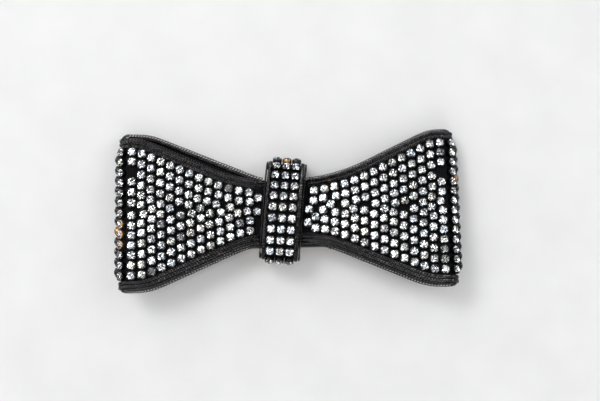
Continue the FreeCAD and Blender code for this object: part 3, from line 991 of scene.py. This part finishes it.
@dataclass
class CrystalCut:
    """A chaton: flat table, two rows of crown facets, thin girdle and a pointed pavilion."""

    finishes: Finishes
    facets: int = 8
    table_radius: float = 0.66 * MM
    table_height: float = 1.92 * MM
    girdle_radius: float = 1.21 * MM
    girdle_top: float = 1.42 * MM
    girdle_low: float = 1.32 * MM
    tip: float = 0.30 * MM
    tilt: float = 3.0
    dull_share: float = 0.3
    haze: float = 0.3

    def model(self) -> bpy.types.Object:
        """Models one crystal from the circle of its table.

        Returns:
            The crystal, with the middle of its cup's foot at the origin.
        """
        deselect()
        bpy.ops.mesh.primitive_circle_add(
            vertices=self.facets, radius=self.table_radius, fill_type="NGON",
            location=(0, 0, self.table_height),
        )
        crystal = started("crystal_pattern")
        crystal.data.transform(crystal.matrix_world)
        crystal.matrix_world = Matrix.Identity(4)
        bpy.ops.object.mode_set(mode="EDIT")
        bpy.ops.mesh.select_all(action="SELECT")
        drop = self.girdle_top - self.table_height
        wide = self.girdle_radius / self.table_radius
        rings = (
            (drop, wide, 180 / self.facets),
            (self.girdle_low - self.girdle_top, 1.0, 0.0),
            (self.tip - self.girdle_low, 0.02, 0.0),
        )
        for fall, scale, turn in rings:
            bpy.ops.mesh.extrude_region_move(TRANSFORM_OT_translate={"value": (0, 0, fall)})
            bpy.ops.transform.resize(value=(scale, scale, 1), center_override=(0, 0, 0))
            if turn:
                bpy.ops.transform.rotate(
                    value=math.radians(turn), orient_axis="Z", center_override=(0, 0, 0)
                )
        bpy.ops.mesh.merge(type="CENTER")
        bpy.ops.mesh.select_all(action="SELECT")
        bpy.ops.mesh.quads_convert_to_tris()
        bpy.ops.object.mode_set(mode="OBJECT")
        self._close_table()
        for material in (self.finishes.glass, self.finishes.foil):
            crystal.data.materials.append(material)
        for face in crystal.data.polygons:
            face.material_index = 1 if face.center.z < self.girdle_low - 0.01 * MM else 0
        return crystal

    @staticmethod
    def _close_table() -> None:
        """Gives the table its face again and turns all the normals outwards."""
        bpy.ops.object.mode_set(mode="EDIT")
        bpy.ops.mesh.select_all(action="DESELECT")
        bpy.ops.mesh.select_mode(type="EDGE")
        bpy.ops.mesh.select_non_manifold()
        bpy.ops.mesh.edge_face_add()
        bpy.ops.mesh.select_all(action="SELECT")
        bpy.ops.mesh.remove_doubles(threshold=0.001 * MM)
        bpy.ops.mesh.normals_make_consistent(inside=False)
        bpy.ops.object.mode_set(mode="OBJECT")

    def set_in(self, node: str, pattern: bpy.types.Object, places: list[Matrix]) -> None:
        """Sets crystals in all the seats of a CAD node.

        Args:
            node: the CAD node.
            pattern: one crystal.
            places: the seats' frames.
        """
        chance = random.Random(node + " cut")
        turned, tones = [], []
        for place in places:
            lean = Matrix.Rotation(math.radians(chance.uniform(-self.tilt, self.tilt)), 4, "X")
            lean = lean @ Matrix.Rotation(math.radians(chance.uniform(-self.tilt, self.tilt)), 4, "Y")
            spin = Matrix.Rotation(chance.uniform(0, 2 * math.pi / self.facets), 4, "Z")
            girdle = Matrix.Translation((0, 0, self.girdle_low))
            turned.append(place @ girdle @ lean @ spin @ girdle.inverted())
            dulled = chance.random() < self.dull_share
            dull = chance.random() if dulled else chance.uniform(0, self.haze)
            tones.append((chance.random(), dull))
        dress(copies(pattern, turned, node + "_cut", tones), "bow", "crystal", node)


@dataclass
class ProngCup:
    """The cup that holds a crystal: a drum with a rolled rim and four prongs over the girdle."""

    finishes: Finishes
    walls: int = 12
    prongs: int = 4
    foot_radius: float = 1.22 * MM
    waist_radius: float = 1.37 * MM
    waist_height: float = 0.55 * MM
    rim_height: float = 1.36 * MM
    rim_bore: float = 1.235 * MM
    lip_depth: float = 0.16 * MM
    lip_taper: float = 0.96
    well_depth: float = 0.98 * MM
    well_taper: float = 0.1
    prong_height: float = 0.25 * MM
    prong_reach: float = 0.87
    tip_height: float = 0.09 * MM
    tip_reach: float = 0.88
    worn: float = 0.95
    handled: float = 0.2

    def model(self) -> bpy.types.Object:
        """Models one cup from the circle of its foot.

        Returns:
            The cup, with the middle of its foot at the origin.
        """
        deselect()
        bpy.ops.mesh.primitive_circle_add(
            vertices=self.walls, radius=self.foot_radius, fill_type="NGON", location=(0, 0, 0)
        )
        cup = started("cup_pattern")
        bpy.ops.object.mode_set(mode="EDIT")
        bpy.ops.mesh.select_mode(type="FACE")
        bpy.ops.mesh.select_all(action="SELECT")
        steps = (
            (self.waist_height, self.waist_radius / self.foot_radius),
            (self.rim_height - self.waist_height, 1.0),
            (0.0, self.rim_bore / self.waist_radius),
            (-self.lip_depth, self.lip_taper),
            (-self.well_depth, self.well_taper),
        )
        for rise, scale in steps:
            bpy.ops.mesh.extrude_region_move(TRANSFORM_OT_translate={"value": (0, 0, rise)})
            bpy.ops.transform.resize(value=(scale, scale, 1), center_override=(0, 0, 0))
        bpy.ops.object.mode_set(mode="OBJECT")
        choose_faces(cup, self._holds_prong)
        bpy.ops.object.mode_set(mode="EDIT")
        for rise, reach in (
            (self.prong_height, self.prong_reach), (self.tip_height, self.tip_reach)
        ):
            bpy.ops.mesh.extrude_region_move(TRANSFORM_OT_translate={"value": (0, 0, rise)})
            bpy.ops.transform.resize(value=(reach, reach, 1), center_override=(0, 0, 0))
        bpy.ops.object.mode_set(mode="OBJECT")
        face_outwards(cup)
        cup.data.materials.append(self.finishes.cup)
        smooth(cup, 40)
        return cup

    def _holds_prong(self, centre: Vector) -> bool:
        """Whether a prong stands on the face with this centre: one rim face in each quarter.

        Args:
            centre: the face's centre.

        Returns:
            True for the four faces of the rim that the prongs rise from.
        """
        if abs(centre.z - self.rim_height) > 0.02 * MM or centre.xy.length < self.rim_bore * 0.9:
            return False
        wall = int(math.degrees(math.atan2(centre.y, centre.x)) % 360 / (360 / self.walls))
        return wall % (self.walls // self.prongs) == 1

    def set_in(
        self, node: str, pattern: bpy.types.Object, places: list[Matrix], worn: tuple[int, ...]
    ) -> None:
        """Sets cups in all the seats of a CAD node.

        Args:
            node: the CAD node.
            pattern: one cup.
            places: the seats' frames.
            worn: which of the cups are worn to the brass.
        """
        chance = random.Random(node + " cups")
        tones = [
            (chance.random(), self.worn if k in worn else chance.uniform(0.0, self.handled))
            for k in range(len(places))
        ]
        dress(copies(pattern, places, node + "_prongs", tones), "bow", "stone_cup", node)


@dataclass
class Pave:
    """All the crystals in their cups."""

    finishes: Finishes
    bow: Bow
    diagonal: float = 45.0
    waver: float = 9.0
    worn: dict[str, tuple[int, ...]] = field(
        default_factory=lambda: {
            "knot_middle_column": (12,),
            "knot_right_column": (1,),
            "left_wing_tip_columns": (6, 8, 9, 10),
            "right_wing_tip_columns": (19,),
        }
    )

    def build(self) -> None:
        """Cuts and sets every group of crystals and its cups."""
        cut, cup = CrystalCut(self.finishes), ProngCup(self.finishes)
        crystal, drum = cut.model(), cup.model()
        along = (self.bow.turn @ Vector((1, 0, 0, 0))).to_3d()
        for node in sorted(frame["nodes"]):
            if not node.endswith("_crystals"):
                continue
            label = node.removesuffix("_crystals")
            chance = random.Random(label)
            places = []
            for seat in seats(node):
                turn = self.diagonal + chance.uniform(-self.waver, self.waver)
                across = along if abs(seat.out.dot(along)) < 0.9 else Vector((0, 1, 0))
                spin = Matrix.Rotation(math.radians(turn), 4, "Z")
                places.append(basis(across, seat.out, seat.foot) @ spin)
            cut.set_in(node, crystal, places)
            cup.set_in(label + "_cups", drum, places, self.worn.get(label, ()))
        discard(crystal)
        discard(drum)


# --------------------------------------------------------------------------- chains


@dataclass
class CurbChain:
    """Fine curb chain sewn down flat: slanted oval links, each twisted to lie over the next."""

    finishes: Finishes
    bow: Bow
    pitch: float = 0.86 * MM
    link_length: float = 1.52 * MM
    link_width: float = 1.0 * MM
    wire: float = 0.18 * MM
    slant: float = 34.0
    roll: float = 24.0
    twist: float = 26.0
    around: int = 10
    wire_sides: int = 4
    rim_face: float = 0.6
    facing_inset: float = 0.97 * MM
    facing_rise: float = 0.92 * MM
    step: float = 1.0 * MM
    knot_steps: int = 36
    aim: float = 0.3 * MM
    slant_waver: float = 3.0
    roll_waver: float = 4.0
    handled: float = 0.3

    def model(self) -> bpy.types.Object:
        """Models one link from a ring: drawn out to an oval and twisted.

        Returns:
            The link, lying along X.
        """
        deselect()
        bpy.ops.mesh.primitive_torus_add(
            major_segments=self.around, minor_segments=self.wire_sides,
            major_radius=self.link_width / 2 - self.wire, minor_radius=self.wire,
        )
        link = started("link_pattern")
        longer = self.link_length / 2 - self.wire
        rounder = self.link_width / 2 - self.wire
        for vertex in link.data.vertices:
            reach = math.hypot(vertex.co.x, vertex.co.y)
            ring = Vector((vertex.co.x, vertex.co.y, 0)) / reach
            vertex.co.x = ring.x * (longer + reach - rounder)
            vertex.co.y = ring.y * reach
        finish_modifier(
            link, "SIMPLE_DEFORM", deform_method="TWIST", deform_axis="X",
            angle=math.radians(self.twist),
        )
        link.data.materials.append(self.finishes.chain)
        smooth(link, 80)
        return link

    def lay(
        self, stations: list[Station], name: str, pattern: bpy.types.Object, lean: int,
        *replaced: str,
    ) -> None:
        """Lays links along a strip's stations and puts the chain on the bow.

        Args:
            stations: the strip's sections, in the row frame.
            name: what to call the chain.
            pattern: one link.
            lean: 1 or -1, the way that the links slant.
            replaced: the CAD node that the chain stands for, if it has one.
        """
        points = np.array([s.centre for s in stations])
        outs = np.array([s.out for s in stations])
        runs = np.concatenate([[0], np.cumsum(np.linalg.norm(np.diff(points, axis=0), axis=1))])
        count = int(runs[-1] / self.pitch)
        chance = random.Random(name)
        places, tones = [], []
        for k in range(count):
            at = (k + 0.5) * runs[-1] / count
            centre, ahead, behind, out = (
                Vector([float(np.interp(at + d, runs, grid[:, axis])) for axis in range(3)])
                for grid, d in ((points, 0), (points, self.aim), (points, -self.aim), (outs, 0))
            )
            square = basis(ahead - behind, out, centre)
            slip = chance.uniform(-self.slant_waver, self.slant_waver)
            slant = Matrix.Rotation(math.radians(lean * self.slant + slip), 4, "Z")
            tip = chance.uniform(-self.roll_waver, self.roll_waver)
            roll = Matrix.Rotation(math.radians(lean * self.roll + tip), 4, "X")
            places.append(square @ slant @ roll)
            tones.append((chance.random(), chance.uniform(0.0, self.handled)))
        dress(copies(pattern, places, name + "_links", tones), "bow", "edge_chain", *replaced)

    def faced(self, s: Station, aside: Vector) -> Station:
        """A station of a row on a ply's edge, facing out from the edge and a little forwards."""
        out = (aside + s.out * self.rim_face).normalized()
        return Station(s.centre, out, s.half_width, s.half_height)

    def facing(self, rim: list[Station], aside: Vector) -> list[Station]:
        """Stations of the row inside the back ply, next to the row on its edge.

        Args:
            rim: stations of the row on the ply's edge, in the bow's frame.
            aside: the way out from the ply's edge.

        Returns:
            The stations, along the flat of the back ply.
        """
        up = Vector((0, 0, 1))
        shift = up * self.facing_rise - aside * self.facing_inset
        return [
            Station(s.centre + shift, up, s.half_width, s.half_height)
            for s in rim
            if s.centre.z < self.bow.parting and abs(s.centre.x) < self.bow.fold_centre
        ]

    def build(self, knot: Knot) -> None:
        """Links every chain of the wings and of the knot.

        Args:
            knot: the knot that has chains of its own.
        """
        link = self.model()
        for side in Side:
            for edge, lean in (("upper", 1), ("lower", -1)):
                self.edge(f"{side.value}_wing_{edge}", side, lean, link)
        for side in Side:
            for row in ("inner", "outer"):
                node = f"knot_{side.value}_{row}_chain"
                flat = knot.stations(node, self.knot_steps, row == "outer", side)
                self.lay([moved(s, knot.frame) for s in flat], node, link, side.sign, node)
        discard(link)

    def edge(self, label: str, side: Side, lean: int, link: bpy.types.Object) -> None:
        """Lays the rows along one edge of a wing.

        Args:
            label: the start of the rows' names.
            side: the wing that they are on.
            lean: 1 for its upper edge, -1 for its lower edge.
            link: the pattern of a link.
        """
        aside = Vector((0, lean, 0))
        for row in ("rim", "outer", "inner"):
            node = f"{label}_{row}_chain"
            flat = wing_stations(self.bow, node, side, self.step)
            if row == "rim":
                inside = [moved(s, self.bow.frame) for s in self.facing(flat, aside)]
                self.lay(inside, f"{label}_facing_chain", link, lean * side.sign)
                flat = [self.faced(s, aside) for s in flat]
            placed = [moved(s, self.bow.frame) for s in flat]
            self.lay(placed, node, link, lean * side.sign, node)


def moved(s: Station, matrix: Matrix) -> Station:
    """A station carried from one frame into another."""
    return Station(matrix @ s.centre, matrix.to_3x3() @ s.out, s.half_width, s.half_height)


# --------------------------------------------------------------------------- straps and knot


@dataclass
class WingStrap:
    """A wing's strap: stiff ribbed cloth folded back at the tip."""

    finishes: Finishes
    bow: Bow
    step: float = 1.1 * MM
    across: int = 18
    rim: float = 0.22 * MM

    def build(self, side: Side) -> None:
        """Weaves one wing's strap.

        Args:
            side: the wing.
        """
        node = f"{side.value}_wing_strap"
        stations = wing_stations(self.bow, node, side, self.step)
        thickness = 2 * stations[0].half_height
        deselect()
        bpy.ops.mesh.primitive_grid_add(
            x_subdivisions=len(stations) - 1, y_subdivisions=self.across, size=2, calc_uvs=True
        )
        strap = started(node + "_cloth")
        for vertex in strap.data.vertices:
            k = round((vertex.co.x + 1) / 2 * (len(stations) - 1))
            s = stations[k]
            y = s.centre.y + vertex.co.y * s.half_width
            centre = s.centre + s.out * s.half_height
            vertex.co = Vector((centre.x, y, centre.z))
        self.bow.place(strap)
        bpy.ops.object.mode_set(mode="EDIT")
        bpy.ops.mesh.select_all(action="SELECT")
        if side is Side.LEFT:
            bpy.ops.mesh.flip_normals()
        bpy.ops.object.mode_set(mode="OBJECT")
        finish_modifier(strap, "SOLIDIFY", thickness=thickness, offset=-1.0, use_even_offset=True)
        round_edges(strap, self.rim, 2)
        strap.data.materials.append(self.finishes.strap)
        smooth(strap, 50)
        dress(strap, "bow", "strap_cloth", node)


@dataclass
class Knot:
    """The knot band and its padding, in the knot's own frame, turned a little on the bow."""

    finishes: Finishes
    bow: Bow
    round_steps: int = 96
    across: int = 10
    rim: float = 0.2 * MM
    end_margin: float = 0.5
    side_lift: float = 0.35
    pad_gap: float = 0.06 * MM
    pad_rim: float = 0.35 * MM
    pad_cuts: int = 11
    pad_crown: float = 0.10
    pad_taper: float = 0.05

    def __post_init__(self) -> None:
        """Reads the knot's turn and middle from its crystals and band."""
        rows = [self.bow.inverse @ s.foot for s in seats("knot_middle_column_crystals")]
        run = rows[-1] - rows[0]
        turn = math.atan2(-run.x, run.y)
        shift = rows[0].x - run.x * rows[0].y / run.y
        band = self.bow.flat("knot_band")
        self.height = float((band[..., 2].min() + band[..., 2].max()) / 2)
        self.frame = (
            self.bow.frame @ Matrix.Translation((shift, 0, 0)) @ Matrix.Rotation(turn, 4, "Z")
        )
        self.inverse = self.frame.inverted()

    def corners(self, node: str) -> np.ndarray:
        """A CAD node's triangles in the knot's frame."""
        inverse = np.array(self.inverse)
        return triangles(node) @ inverse[:3, :3].T + inverse[:3, 3]

    def stations(self, node: str, count: int, sideways: bool, side: Side) -> list[Station]:
        """Stations of a strip over the knot's front, from below it to above it.

        Args:
            node: the CAD node of a knot chain.
            count: how many stations to take.
            sideways: whether the chain lies on the band's side face, and so faces sideways.
            side: the side of the knot that it is on.

        Returns:
            The stations in the knot's frame.
        """
        corners = self.corners(node)
        middle = Vector((0, 0, self.height))
        reach = np.degrees(np.arctan2(corners[..., 1], corners[..., 2] - self.height))
        found = []
        low, high = reach.min() + self.end_margin, reach.max() - self.end_margin
        for a in np.radians(np.linspace(low, high, count)):
            out = Vector((0, math.sin(a), math.cos(a)))
            points = crossings(corners, middle, Vector((0, math.cos(a), -math.sin(a))))
            points = points[(points - np.array(middle)) @ np.array(out) > 0]
            if len(points):
                found.append(station(points, Vector((1, 0, 0)), out))
        last = len(found) - 1
        made = []
        for k, s in enumerate(found):
            run = found[min(last, k + 1)].centre - found[max(0, k - 1)].centre
            out = Vector((1, 0, 0)).cross(run).normalized()
            out = out if out.dot(s.out) > 0 else -out
            if sideways:
                out = (Vector((side.sign, 0, 0)) + out * self.side_lift).normalized()
            made.append(Station(s.centre, out, s.half_width, s.half_height))
        return made

    def band(self) -> None:
        """Weaves the band that closes round the knot."""
        corners = self.corners("knot_band")
        middle = Vector((0, 0, self.height))
        outline, walls = [], []
        for k in range(self.round_steps):
            a = 2 * math.pi * k / self.round_steps
            out = Vector((0, math.sin(a), math.cos(a)))
            points = crossings(corners, middle, Vector((0, math.cos(a), -math.sin(a))))
            reach = (points - np.array(middle)) @ np.array(out)
            reach = reach[reach > 0]
            outline.append(middle + out * float(reach.max()))
            walls.append(float(reach.max() - reach.min()))
        half = float(np.abs(corners[..., 0]).max())
        deselect()
        bpy.ops.mesh.primitive_cylinder_add(
            vertices=self.round_steps, radius=1, depth=2, end_fill_type="NOTHING", calc_uvs=True
        )
        band = started("knot_band_cloth")
        for vertex in band.data.vertices:
            turns = math.atan2(vertex.co.y, vertex.co.x) / (2 * math.pi)
            k = round(turns * self.round_steps) % self.round_steps
            vertex.co = Vector((vertex.co.z * half, outline[k].y, outline[k].z))
        band.data.transform(self.frame)
        face_outwards(band)
        finish_modifier(band, "SOLIDIFY", thickness=min(walls), offset=-1.0, use_even_offset=True)
        round_edges(band, self.rim, 2)
        band.data.materials.append(self.finishes.band)
        smooth(band, 50)
        dress(band, "bow", "strap_cloth", "knot_band")

    def padding(self) -> None:
        """Stuffs the knot with a felt pad, crowned and soft at its rims."""
        corners = self.corners("knot_padding")
        low, high = corners.reshape(-1, 3).min(axis=0), corners.reshape(-1, 3).max(axis=0)
        deselect()
        bpy.ops.mesh.primitive_cube_add(size=2, location=(0, 0, 0))
        pad = started("knot_padding_felt")
        bpy.ops.object.mode_set(mode="EDIT")
        bpy.ops.mesh.select_all(action="SELECT")
        bpy.ops.mesh.subdivide(number_cuts=self.pad_cuts)
        bpy.ops.object.mode_set(mode="OBJECT")
        for vertex in pad.data.vertices:
            x, v, w = vertex.co
            y = (low[1] + high[1] + v * (high[1] - low[1])) / 2
            inside = min(max(y, low[1] + 0.1 * MM), high[1] - 0.1 * MM)
            cut = crossings(corners, Vector((0, inside, 0)), Vector((0, 1, 0)))
            top, foot = float(cut[:, 2].max()), float(cut[:, 2].min())
            bulge = 1 - self.pad_crown * w ** 4 - self.pad_taper * v ** 4
            z = foot + (w + 1) / 2 * (top - foot)
            vertex.co = Vector((x * high[0] * bulge, y, z - self.pad_gap * max(0.0, w)))
        pad.data.transform(self.frame)
        round_edges(pad, self.pad_rim, 3)
        pad.data.materials.append(self.finishes.felt)
        smooth(pad, 60)
        dress(pad, "bow", "felt_padding", "knot_padding")

    def build(self) -> None:
        """Makes the band and its padding."""
        self.band()
        self.padding()


# --------------------------------------------------------------------------- back


@dataclass
class Backing:
    """The suede patch over the back of the waist, and the threads that hold it and the pin."""

    finishes: Finishes
    bow: Bow
    corner: float = 3.8 * MM
    stitch_pitch: float = 1.9 * MM
    stitch_inset: float = 1.1 * MM
    stitch_length: float = 1.25 * MM
    rim: float = 0.3 * MM
    corner_steps: int = 8
    thread: float = 0.13 * MM
    strands: int = 3
    strand_slip: float = 0.08 * MM
    strand_pitch: float = 2.1
    stitch_dip: float = 0.55
    stitch_waver: float = 5.0

    def patch(self) -> tuple[Vector, Vector]:
        """Cuts the patch and rolls its edge.

        Returns:
            The patch's lowest and highest corners in the bow's frame.
        """
        corners = self.bow.flat("back_patch").reshape(-1, 3)
        low, high = Vector(corners.min(axis=0)), Vector(corners.max(axis=0))
        half = (high - low) / 2
        middle = (low + high) / 2
        deselect()
        bpy.ops.mesh.primitive_plane_add(size=2)
        patch = started("back_patch_suede")
        for vertex in patch.data.vertices:
            vertex.co.x *= half.x
            vertex.co.y *= half.y
        bpy.ops.object.mode_set(mode="EDIT")
        bpy.ops.mesh.select_all(action="SELECT")
        bpy.ops.mesh.bevel(offset=self.corner, segments=self.corner_steps, affect="VERTICES")
        bpy.ops.mesh.select_all(action="SELECT")
        bpy.ops.mesh.extrude_region_move(TRANSFORM_OT_translate={"value": (0, 0, 2 * half.z)})
        bpy.ops.object.mode_set(mode="OBJECT")
        face_outwards(patch)
        patch.data.transform(Matrix.Translation((middle.x, middle.y, low.z)))
        round_edges(patch, self.rim, 3)
        self.bow.place(patch)
        patch.data.materials.append(self.finishes.suede)
        smooth(patch, 40)
        dress(patch, "bow", "backing_leather", "back_patch")
        return low, high

    def stitch(self) -> bpy.types.Object:
        """Models one stitch: a short thread that dips at both ends.

        Returns:
            The stitch, lying along X.
        """
        deselect()
        bpy.ops.mesh.primitive_uv_sphere_add(segments=6, ring_count=6, radius=1)
        stitch = started("stitch_pattern")
        for vertex in stitch.data.vertices:
            x, y, z = vertex.co
            dip = self.stitch_dip * self.thread * z * z
            vertex.co = Vector((z * self.stitch_length / 2, y * self.thread, x * self.thread - dip))
        face_outwards(stitch)
        stitch.data.materials.append(self.finishes.thread)
        smooth(stitch, 80)
        return stitch

    def hem(self, low: Vector, high: Vector) -> None:
        """Sews round the patch, just inside its edge.

        Args:
            low: the patch's lowest corner, in the bow's frame.
            high: its highest corner.
        """
        x, y = (high.x - low.x) / 2 - self.stitch_inset, (high.y - low.y) / 2 - self.stitch_inset
        radius = self.corner - self.stitch_inset
        middle = (low + high) / 2
        line = []
        for sx, sy, start in ((1, 1, 0), (-1, 1, 90), (-1, -1, 180), (1, -1, 270)):
            hub = Vector((sx * (x - radius), sy * (y - radius), 0))
            for k in range(self.corner_steps + 1):
                a = math.radians(start + 90 * k / self.corner_steps)
                line.append(hub + Vector((radius * math.cos(a), radius * math.sin(a), 0)))
        line.append(line[0])
        runs = [0.0]
        for a, b in zip(line, line[1:]):
            runs.append(runs[-1] + (b - a).length)
        count = round(runs[-1] / self.stitch_pitch)
        pattern = self.stitch()
        chance = random.Random("hem")
        places = []
        for k in range(count):
            at = k * runs[-1] / count
            point, ahead = (
                Vector([float(np.interp((at + d) % runs[-1], runs, [p[i] for p in line]))
                        for i in range(3)])
                for d in (0.0, 0.2 * MM)
            )
            spot = Vector((point.x + middle.x, point.y + middle.y, low.z - 0.02 * MM))
            square = basis(ahead - point, Vector((0, 0, -1)), spot)
            stray = math.radians(chance.uniform(-self.stitch_waver, self.stitch_waver))
            places.append(self.bow.frame @ square @ Matrix.Rotation(stray, 4, "Z"))
        piece = copies(pattern, places, "patch_stitches", [(0.5, 0.0)] * count)
        discard(pattern)
        dress(piece, "bow", "backing_leather")

    def lashings(self) -> None:
        """Sews the pin's bar down: strands from each hole over the bar's two edges."""
        corners = self.bow.flat("pin_bar").reshape(-1, 3)
        high = float(corners[:, 2].max())
        plate = corners[corners[:, 2] > high - 0.75 * MM]
        low, top = plate.min(axis=0), plate.max(axis=0)
        back = float(low[2])
        middle, half = float(low[1] + top[1]) / 2, float(top[1] - low[1]) / 2
        inner = plate[np.abs(plate[:, 1] - middle) < 0.3 * half]
        chance = random.Random("lashings")
        strands = []
        for x in hole_places(inner[:, 0]):
            for turn in (1, -1):
                for k in range(self.strands):
                    drift = (k - (self.strands - 1) / 2) * self.strand_pitch * self.thread
                    slip = chance.uniform(-self.strand_slip, self.strand_slip)
                    route = (
                        (0.0, back + 0.5 * MM), (0.25 * MM, back + 0.1 * MM),
                        (0.75 * MM, back - 0.6 * self.thread),
                        (half - 0.2 * MM, back - 0.7 * self.thread),
                        (half + 0.12 * MM, back + 0.1 * MM), (half + 0.16 * MM, high + 0.25 * MM),
                    )
                    strands.append([
                        Vector((x + drift + slip * (j / 5), middle + turn * y, z))
                        for j, (y, z) in enumerate(route)
                    ])
        activate(*[self._strand(points) for points in strands])
        bpy.ops.object.join()
        piece = started("bar_lashings")
        self.bow.place(piece)
        piece.data.materials.append(self.finishes.thread)
        smooth(piece, 80)
        dress(piece, "bow", "backing_leather")

    def _strand(self, points: list[Vector]) -> bpy.types.Object:
        """A strand of thread.

        Args:
            points: the points that it follows.

        Returns:
            The strand, as a closed mesh.
        """
        curve = bpy.data.curves.new("strand", "CURVE")
        curve.dimensions = "3D"
        curve.bevel_depth = self.thread
        curve.bevel_resolution = 1
        curve.resolution_u = 3
        curve.use_fill_caps = True
        spline = curve.splines.new("NURBS")
        spline.points.add(len(points) - 1)
        for control, point in zip(spline.points, points):
            control.co = (*point, 1)
        spline.order_u = 3
        spline.use_endpoint_u = True
        strand = bpy.data.objects.new("strand", curve)
        bpy.context.scene.collection.objects.link(strand)
        activate(strand)
        bpy.ops.object.convert(target="MESH")
        return bpy.context.active_object

    def build(self) -> None:
        """Makes the patch and all its sewing."""
        low, high = self.patch()
        self.hem(low, high)
        self.lashings()


def hole_places(points: np.ndarray) -> list[float]:
    """Finds the holes along a bar.

    Args:
        points: places along the bar of the points near its centre line.

    Returns:
        The middle of each hole, along the bar.
    """
    found: list[list[float]] = []
    for x in sorted(set(np.round(points, 5))):
        if found and x - found[-1][-1] < 1.7 * MM:
            found[-1].append(x)
        else:
            found.append([x])
    return [(g[0] + g[-1]) / 2 for g in found if 1.2 * MM < g[-1] - g[0] < 1.8 * MM]


@dataclass
class PinFinding:
    """The locking bar pin, whose CAD shapes stay as they are."""

    finishes: Finishes
    nodes: tuple[str, ...] = ("pin_bar", "hinge_rivet", "pin_stem", "catch_housing", "catch_rotor")

    def build(self) -> None:
        """Gives every part of the pin its brass."""
        for node in self.nodes:
            part = frame["nodes"][node]
            part.data.materials.clear()
            part.data.materials.append(self.finishes.brass)
            LOG.info("%s: CAD shape, in brass", node)


# --------------------------------------------------------------------------- studio


@dataclass
class Studio:
    """Pale floor, soft lights and the camera above."""

    lens: float = 66.0
    distance: float = 0.322
    aim: tuple[float, float] = (3.8 * MM, 2.5 * MM)
    roll: float = -1.2
    floor_half: float = 1.5
    backdrop: float = 0.92
    panel_scale: float = 8.0
    panels: tuple = ((0.0, 0.02), (0.5, 0.3), (0.68, 1.0), (0.85, 3.0))
    cloud_scale: float = 60.0
    shade: tuple = (0.83, 0.83, 0.835)
    pale: tuple = (0.87, 0.87, 0.875)

    def floor(self) -> None:
        """Lays the pale surface that the brooch rests on."""
        deselect()
        bpy.ops.mesh.primitive_plane_add(size=2 * self.floor_half, location=(0, 0, 0))
        floor = started("floor")
        finish = Finish("pale_floor", Roughness=0.75)
        place = add_node(finish.tree, "ShaderNodeTexCoord").outputs["Object"]
        inputs = {"Vector": place, "Scale": self.cloud_scale}
        cloud = add_node(finish.tree, "ShaderNodeTexNoise", inputs)
        tint = finish.ramp(cloud.outputs["Fac"], [(0.3, self.shade), (0.7, self.pale)])
        finish.feed({"Base Color": tint})
        floor.data.materials.append(finish.material)
        floor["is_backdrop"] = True

    def lamp(self, name: str, place: tuple, size: float, power: float, colour: tuple) -> None:
        """Hangs a square soft light that faces the brooch.

        Args:
            name: the lamp's name.
            place: where it hangs.
            size: its side.
            power: its power in watts.
            colour: its colour.
        """
        light = bpy.data.lights.new(name, "AREA")
        light.size = size
        light.energy = power
        light.color = colour
        lamp = bpy.data.objects.new(name, light)
        lamp.location = place
        lamp.rotation_euler = (-Vector(place)).to_track_quat("-Z", "Y").to_euler()
        bpy.context.scene.collection.objects.link(lamp)

    def lights(self) -> None:
        """Sets the soft lights and the room that the crystals mirror."""
        self.lamp("key_light", (-0.35, 0.40, 0.75), 0.35, 3.1, (1.0, 1.0, 1.0))
        self.lamp("fill_light", (0.55, 0.15, 0.65), 0.30, 0.8, (0.97, 0.98, 1.0))
        self.lamp("front_light", (0.1, -0.55, 0.6), 0.25, 0.4, (1.0, 0.99, 0.97))
        self.lamp("top_light", (-0.08, 0.1, 0.9), 0.12, 0.5, (1.0, 1.0, 1.0))
        self.room()

    def room(self) -> None:
        """Surrounds the brooch with soft even light, and with bright and dark panels to mirror."""
        world = bpy.data.worlds.new("studio")
        bpy.context.scene.world = world
        world.use_nodes = True
        tree = world.node_tree
        place = add_node(tree, "ShaderNodeTexCoord").outputs["Generated"]
        cells = add_node(tree, "ShaderNodeTexVoronoi", {"Vector": place, "Scale": self.panel_scale})
        split = add_node(tree, "ShaderNodeSeparateColor", {"Color": cells.outputs["Color"]})
        panels = add_node(tree, "ShaderNodeValToRGB", {"Fac": split.outputs["Red"]})
        ramp = panels.color_ramp
        ramp.interpolation = "CONSTANT"
        while len(ramp.elements) < len(self.panels):
            ramp.elements.new(0.5)
        for element, (at, value) in zip(ramp.elements, self.panels):
            element.position = at
            element.color = (value, value, value, 1)
        seen = add_node(tree, "ShaderNodeLightPath").outputs["Is Camera Ray"]
        plain = (self.backdrop, self.backdrop, self.backdrop, 1)
        colour = mixed(tree, seen, panels.outputs["Color"], plain)
        feed(tree, tree.nodes["Background"], {"Color": colour, "Strength": 1.0})

    def camera(self) -> None:
        """Puts the camera straight above, aimed a little off the brooch's middle."""
        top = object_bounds()[1][2]
        data = bpy.data.cameras.new("camera")
        data.lens = self.lens
        data.sensor_width = 36.0
        camera = bpy.data.objects.new("camera", data)
        camera.location = (self.aim[0], self.aim[1], top / 2 + self.distance)
        camera.rotation_euler = (0, 0, math.radians(self.roll))
        bpy.context.scene.collection.objects.link(camera)
        bpy.context.scene.camera = camera

    def build(self) -> None:
        """Sets up the whole studio."""
        bpy.context.scene.view_settings.view_transform = "Standard"
        self.floor()
        self.lights()
        self.camera()


def main() -> None:
    """Builds the brooch's looks, sub-assembly by sub-assembly."""
    logging.basicConfig(level=logging.INFO, format="%(name)s: %(message)s")
    finishes = Finishes()
    bow = Bow()
    knot = Knot(finishes, bow)
    Studio().build()
    for side in Side:
        WingStrap(finishes, bow).build(side)
    knot.build()
    CurbChain(finishes, bow).build(knot)
    Pave(finishes, bow).build()
    Backing(finishes, bow).build()
    PinFinding(finishes).build()


if __name__ == "__main__":
    main()
